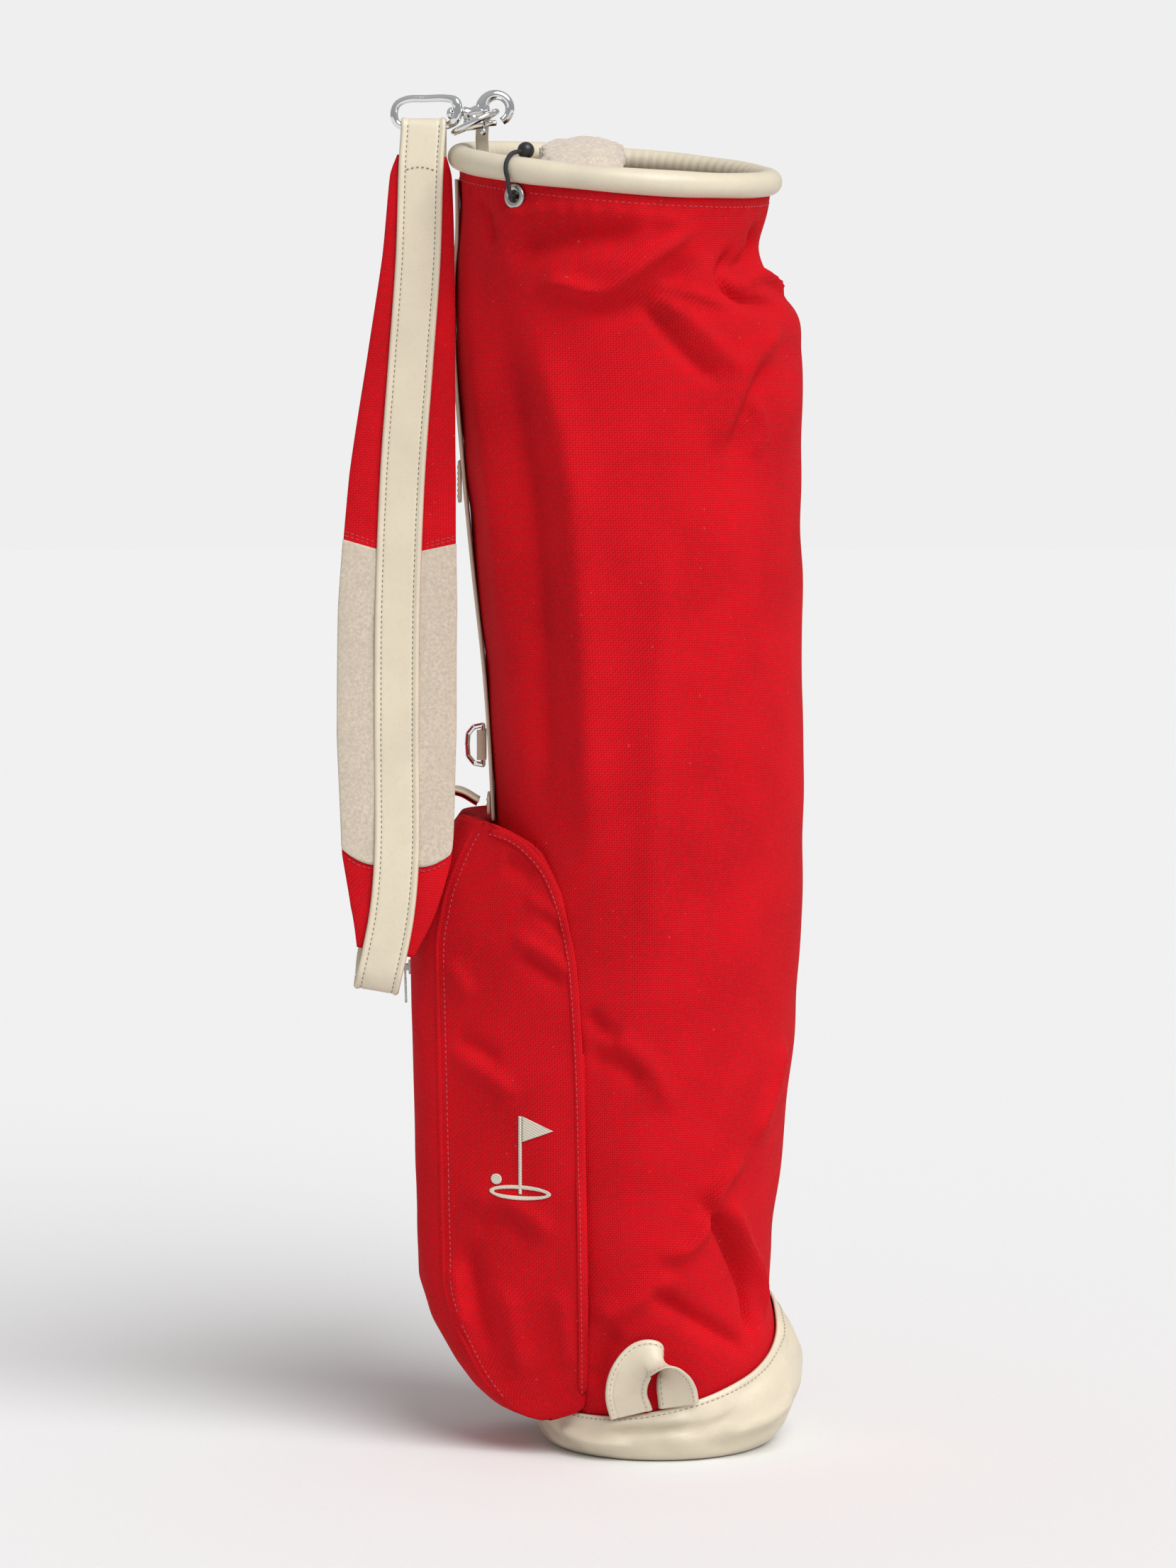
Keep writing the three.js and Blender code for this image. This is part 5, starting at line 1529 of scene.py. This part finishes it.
class BAG_OT_snap(Step, bpy.types.Operator):
    """The snap hook with its eye, bolt and knob, the ring at the rim and the leather tab that holds it"""

    bl_idname = "bag.snap"
    bl_label = "Snap hook"

    def execute(self, context):
        self.eye()
        self.hook()
        self.bolt()
        self.ring()
        return {"FINISHED"}

    def eye(self):
        """A cast loop whose right side is a broad band that the shank turns in, with the shank's head inside."""
        left, right, bar = EYE_LEFT, COLLAR_X, EYE_BAR_Z
        loop = [
            (right - 10, bar), (-150, bar), (left + 1.5, bar), (left - 3, 889.6), (left - 4.4, 895),
            (left - 2.4, 901.2), (left + 4, 904.6), (-148, 905.2), (right - 8, 905.4), (right - 1.2, 903.4),
            (right + 0.4, 896), (right - 1.2, 891.4), (right - 5, 888.1),
        ]
        path, station = route([(x, HOOK_Y, z) for x, z in loop], 200, closed=True)
        band = smoothstep(station, 7.6, 9.4) * smoothstep(12.4 - station, 0.0, 1.5)
        wide, thick = 2.5 + 4.3 * band, 2.5 + 0.7 * band
        a = np.linspace(0, 2 * math.pi, 28, endpoint=False)
        flat = 1 - 0.35 * band[:, None]
        side = np.sign(np.cos(a)) * np.abs(np.cos(a)) ** flat * wide[:, None]
        height = np.sign(np.sin(a)) * np.abs(np.sin(a)) ** flat * thick[:, None]
        wire = sweep(path, np.stack([side, height], -1), (0, 1, 0), closed=True)
        piece("swivel_loop", wire, "swivel_eye", polished_chrome(), ["snap_eye"])

    def hook(self):
        def on_loop(degrees):
            a = math.radians(degrees)
            return (
                CATCH["x"] + CATCH["radius"] * math.cos(a), HOOK_Y, CATCH["z"] + CATCH["radius"] * math.sin(a)
            )

        turns = [188, 162, 136, 110, 85, 60, 35, 10, -15, -40, -64]
        path, station = route([(-119, HOOK_Y, SHANK_Z), (-115, HOOK_Y, 896.6)] + [on_loop(t) for t in turns], 150)
        thick = np.interp(station, [0, 1, 2, 3, 4, 6, 9, 12], [3.4, 4.2, 4.7, 4.3, 3.8, 3.3, 3.0, 2.7])
        catch = sweep(path, circle(1, 22)[None] * thick[:, None, None])
        head = COLLAR_X - 3.6
        spindle = [
            (0, -3.4), (2.2, -3.0), (3.6, -1.9), (4.2, -0.4), (3.8, 0), (2.0, 0), (2.0, 7.8), (4.3, 7.8), (4.6, 8.6),
            (4.1, 10.5), (3.8, 12.5), (0, 12.5),
        ]
        shank = lathe(spindle, (head, HOOK_Y, SHANK_Z), (1, 0, 0))
        turn = np.radians(np.linspace(-54, 234, 30))
        around = np.stack([np.cos(turn), np.sin(turn)], -1)
        slotted = np.concatenate([around * 3.7, around[::-1] * 2.35])
        barrel = sweep(np.linspace(bolt_at(-123.2), bolt_at(-110.4), 12), slotted, (0, 1, 0))
        web = lathe(
            [(0, -1.1), (3.3, -1.1), (3.0, 0.6), (3.3, 3.6), (0, 4)], (-117.5, HOOK_Y, 891.6), unit((2, 0, 7.5)), 24
        )
        parts = together(catch, shank, barrel, web)
        piece("snap_hook_cast", parts, "hook", polished_chrome(), ["snap_hook"])

    def bolt(self):
        axis = unit(bolt_at(-100) - bolt_at(-123.2))
        start, end = bolt_at(-111.5), bolt_at(-101.6)
        length = float(np.linalg.norm(end - start))
        pin = lathe([(0, 0), (1.9, 0), (1.9, length - 0.7), (1.3, length), (0, length)], start, axis)
        knob = bolt_at(-110.5)
        stem = [(0, 0), (1.3, 0), (1.3, -2.6), (1.9, -3.2), (2.3, -4.6), (1.9, -6.4), (1.1, -7.2), (0, -7.4)]
        button = lathe(stem, (knob[0], HOOK_Y, knob[2]), (0, 0, 1))
        piece("bolt_and_knob", together(pin, button), "bolt", polished_chrome(), ["snap_bolt"])

    def ring(self):
        centre, up, hold, wire_way = ring_place()
        a = np.linspace(0, 2 * math.pi, 110, endpoint=False)
        path = centre + RING["radius"] * (up * np.cos(a)[:, None] + np.array([0, 1, 0]) * np.sin(a)[:, None])
        loop = sweep(path, circle(RING["wire"], 20), np.cross(up, (0, 1, 0)), closed=True)
        piece("rim_ring", loop, "ring", polished_chrome(), ["top_ring"])
        self.tab(hold, wire_way)

    def tab(self, hold, wire_way):
        inner, outer, half = RING["wire"] + 0.95, RING["wire"] + 0.95 + LEATHER, 4.25
        profile = [
            (inner, -half), (outer - 0.5, -half), (outer, -half + 0.5), (outer, half - 0.5), (outer - 0.5, half),
            (inner, half), (inner, -half),
        ]
        loop = lathe(profile, hold, wire_way, 36)
        stations = [
            (tuple(hold + (0, 0.5, -4.2)), (1, 0, 0.3), 8.5), ((hold[0] - 0.4, hold[1] + 1.5, 880), (1, 0, 0), 8.5),
            ((hold[0] - 0.2, 3.4, 866), (1, 0.5, 0), 8), ((-115.6, 3.6, 852), (0.2, 1, 0), 10),
            ((float(left_face(np.array(838.0))) + 7, 3.6, 840), (0, 1, 0), 11),
        ]
        path, station = route([s[0] for s in stations], 40)
        across = np.stack([np.interp(station, np.arange(5), [s[1][k] for s in stations]) for k in range(3)], -1)
        wide = np.interp(station, np.arange(5), [s[2] for s in stations])[:, None]
        side = np.linspace(-1, 1, 14)
        section = np.concatenate(
            [np.stack([side * wide / 2, 1.5 - 0.5 * side**8 + 0 * wide], -1),
             np.stack([-side * wide / 2, -1.5 + 0.5 * side**8 + 0 * wide], -1)], 1
        )
        leg = sweep(path, section, across)
        piece("ring_tab_loop", together(loop, leg), "bag", cream_leather(), ["ring_tab"])


def bolt_at(x):
    (from_x, from_z), (to_x, to_z) = BOLT
    share = (x - from_x) / (to_x - from_x)
    return np.array([x, HOOK_Y, from_z + (to_z - from_z) * share])


def ring_place():
    """The ring's centre, the direction up its slope, where its tab holds it and its wire's way there."""
    slope, radius, held = RING["slope"], RING["radius"], RING["held"]
    up = np.array([math.cos(slope), 0, math.sin(slope)])
    centre = np.array([RING["tip"][0], HOOK_Y, RING["tip"][1]]) - up * radius
    angle = math.acos(held / radius)
    hold = centre + up * held + np.array([0, radius * math.sin(angle), 0])
    return centre, up, hold, up * math.sin(angle) + np.array([0, -math.cos(angle), 0])


class BAG_OT_grab(Step, bpy.types.Operator):
    """The folded leather loop at the foot, for lifting the bag level"""

    bl_idname = "bag.grab"
    bl_label = "Grab loop"

    def execute(self, context):
        path, station = route([spot for spot, _, _ in GRAB_LOOP], 120)
        wide = np.interp(station, np.arange(len(GRAB_LOOP)), [w for _, _, w in GRAB_LOOP])
        across = np.array([a for _, a, _ in GRAB_LOOP])
        across = np.stack([np.interp(station, np.arange(len(across)), across[:, k]) for k in range(3)], -1)
        unit_section = strap_section(GRAB_WIDTH, 0.35)
        section = unit_section * np.stack([wide / GRAB_WIDTH, -np.ones_like(wide)], -1)[:, None]
        loop = sweep(path, section, across)
        piece("grab_loop_strip", loop, "grab", cream_leather(), ["grab_loop"])
        along = tangents(path)
        side = unit(across - along * (across * along).sum(1, keepdims=True))
        out = np.cross(along, side)
        for sign, name in ((-1, "left"), (1, "right")):
            for face in (-1, 1):
                line = path + side * sign * (wide[:, None] / 2 - 3.2) + out * face * 0.9
                label = f"grab_stitching_{name}_{'front' if face > 0 else 'back'}"
                stitches(label, line[2:-2], out[2:-2] * face, "grab", boot_thread(), width=0.7)
        return {"FINISHED"}


class BAG_OT_carried_over(Step, bpy.types.Operator):
    """The finishes of the parts that keep their own shape, most of them hidden inside"""

    bl_idname = "bag.carried_over"
    bl_label = "Hidden parts"

    def execute(self, context):
        nodes = frame["nodes"]
        finishes = {
            "rim_hoop": drawn_wire(), "rim_foam": foam(), "base_pad": foam(),
            "base_plate": painted_steel(), "spine_stay": stay_board(), "zip_stop_top": satin_nickel(),
            "zip_stop_bottom": satin_nickel(), "zip_slider": satin_nickel(), "zip_pull": satin_nickel(),
        }
        for name, finish in finishes.items():
            smooth_node(nodes[name], finish, 0.2)
        return {"FINISHED"}


# ---------- the stage ----------


class BAG_OT_stage(Step, bpy.types.Operator):
    """The pale floor, soft lights and the camera"""

    bl_idname = "bag.stage"
    bl_label = "Stage"

    def execute(self, context):
        scene = bpy.context.scene
        scene.view_settings.view_transform = "Standard"
        self.camera(scene)
        self.floor()
        self.world(scene)
        self.key(scene)
        return {"FINISHED"}

    def camera(self, scene):
        lens = bpy.data.cameras.new("camera")
        lens.lens, lens.sensor_width = 123.04, 36
        camera = bpy.data.objects.new("camera", lens)
        camera.location = (-0.0409, -3.6, 0.762)
        camera.rotation_euler = (math.radians(85), 0, 0)
        scene.collection.objects.link(camera)
        scene.camera = camera

    def floor(self):
        bm = bmesh.new()
        bmesh.ops.create_circle(bm, cap_ends=True, segments=96, radius=14)
        mesh = bpy.data.meshes.new("floor")
        bm.to_mesh(mesh)
        bm.free()
        mesh.materials.append(pale_floor())
        floor = bpy.data.objects.new("floor", mesh)
        bpy.context.scene.collection.objects.link(floor)

    def world(self, scene):
        scene.world = bpy.data.worlds.new("studio")
        """A pale backdrop to look at, and a dimmer sky that lights the bag from above."""
        scene.world.use_nodes = True
        tree = scene.world.node_tree
        backdrop = tree.nodes["Background"]
        backdrop.inputs["Color"].default_value = colour(linear("EFEFEF"))
        where = add(tree, "ShaderNodeTexCoord").outputs["Generated"]
        height = add(tree, "ShaderNodeSeparateXYZ", {0: where}).outputs["Z"]
        sky = add(tree, "ShaderNodeBackground", {"Strength": ranged(tree, height, -0.1, 0.8, 0.42, 0.58)})
        seen = add(tree, "ShaderNodeLightPath").outputs["Is Camera Ray"]
        both = add(tree, "ShaderNodeMixShader", {0: seen, 1: sky.outputs[0], 2: backdrop.outputs[0]})
        tree.links.new(both.outputs[0], tree.nodes["World Output"].inputs["Surface"])

    def key(self, scene):
        """One large soft lamp, high at the front right, that lights the floor evenly."""
        lamp = bpy.data.lights.new("key", "SUN")
        lamp.energy, lamp.angle = 2.9, math.radians(46)
        light = bpy.data.objects.new("key", lamp)
        aim = Vector((-0.42, 0.58, -0.75))
        light.rotation_euler = aim.to_track_quat("-Z", "Y").to_euler()
        scene.collection.objects.link(light)


class BAG_PT_panel(bpy.types.Panel):
    """Lists the building steps and the settings"""

    bl_idname = "BAG_PT_panel"
    bl_label = "Carry bag"
    bl_space_type = "VIEW_3D"
    bl_region_type = "UI"
    bl_category = "Carry bag"

    def draw(self, context):
        for group in (context.scene.bag_colours, context.scene.bag_sizes):
            for name in type(group).__annotations__:
                self.layout.prop(group, name)
        for step in STEPS:
            self.layout.operator(step.bl_idname)


STEPS = (
    BAG_OT_stage, BAG_OT_toggle, BAG_OT_tube, BAG_OT_rim, BAG_OT_mouth, BAG_OT_boot, BAG_OT_pouch, BAG_OT_motif,
    BAG_OT_spine, BAG_OT_snap, BAG_OT_strap, BAG_OT_grab, BAG_OT_carried_over,
)
CLASSES = (BagColours, BagSizes, *STEPS, BAG_PT_panel)


def register():
    for each in CLASSES:
        bpy.utils.register_class(each)
    bpy.types.Scene.bag_colours = PointerProperty(type=BagColours)
    bpy.types.Scene.bag_sizes = PointerProperty(type=BagSizes)


def unregister():
    del bpy.types.Scene.bag_colours
    del bpy.types.Scene.bag_sizes
    for each in reversed(CLASSES):
        bpy.utils.unregister_class(each)


def main():
    register()
    for step in STEPS:
        family, name = step.bl_idname.split(".")
        getattr(getattr(bpy.ops, family), name)()


if __name__ == "__main__":
    main()
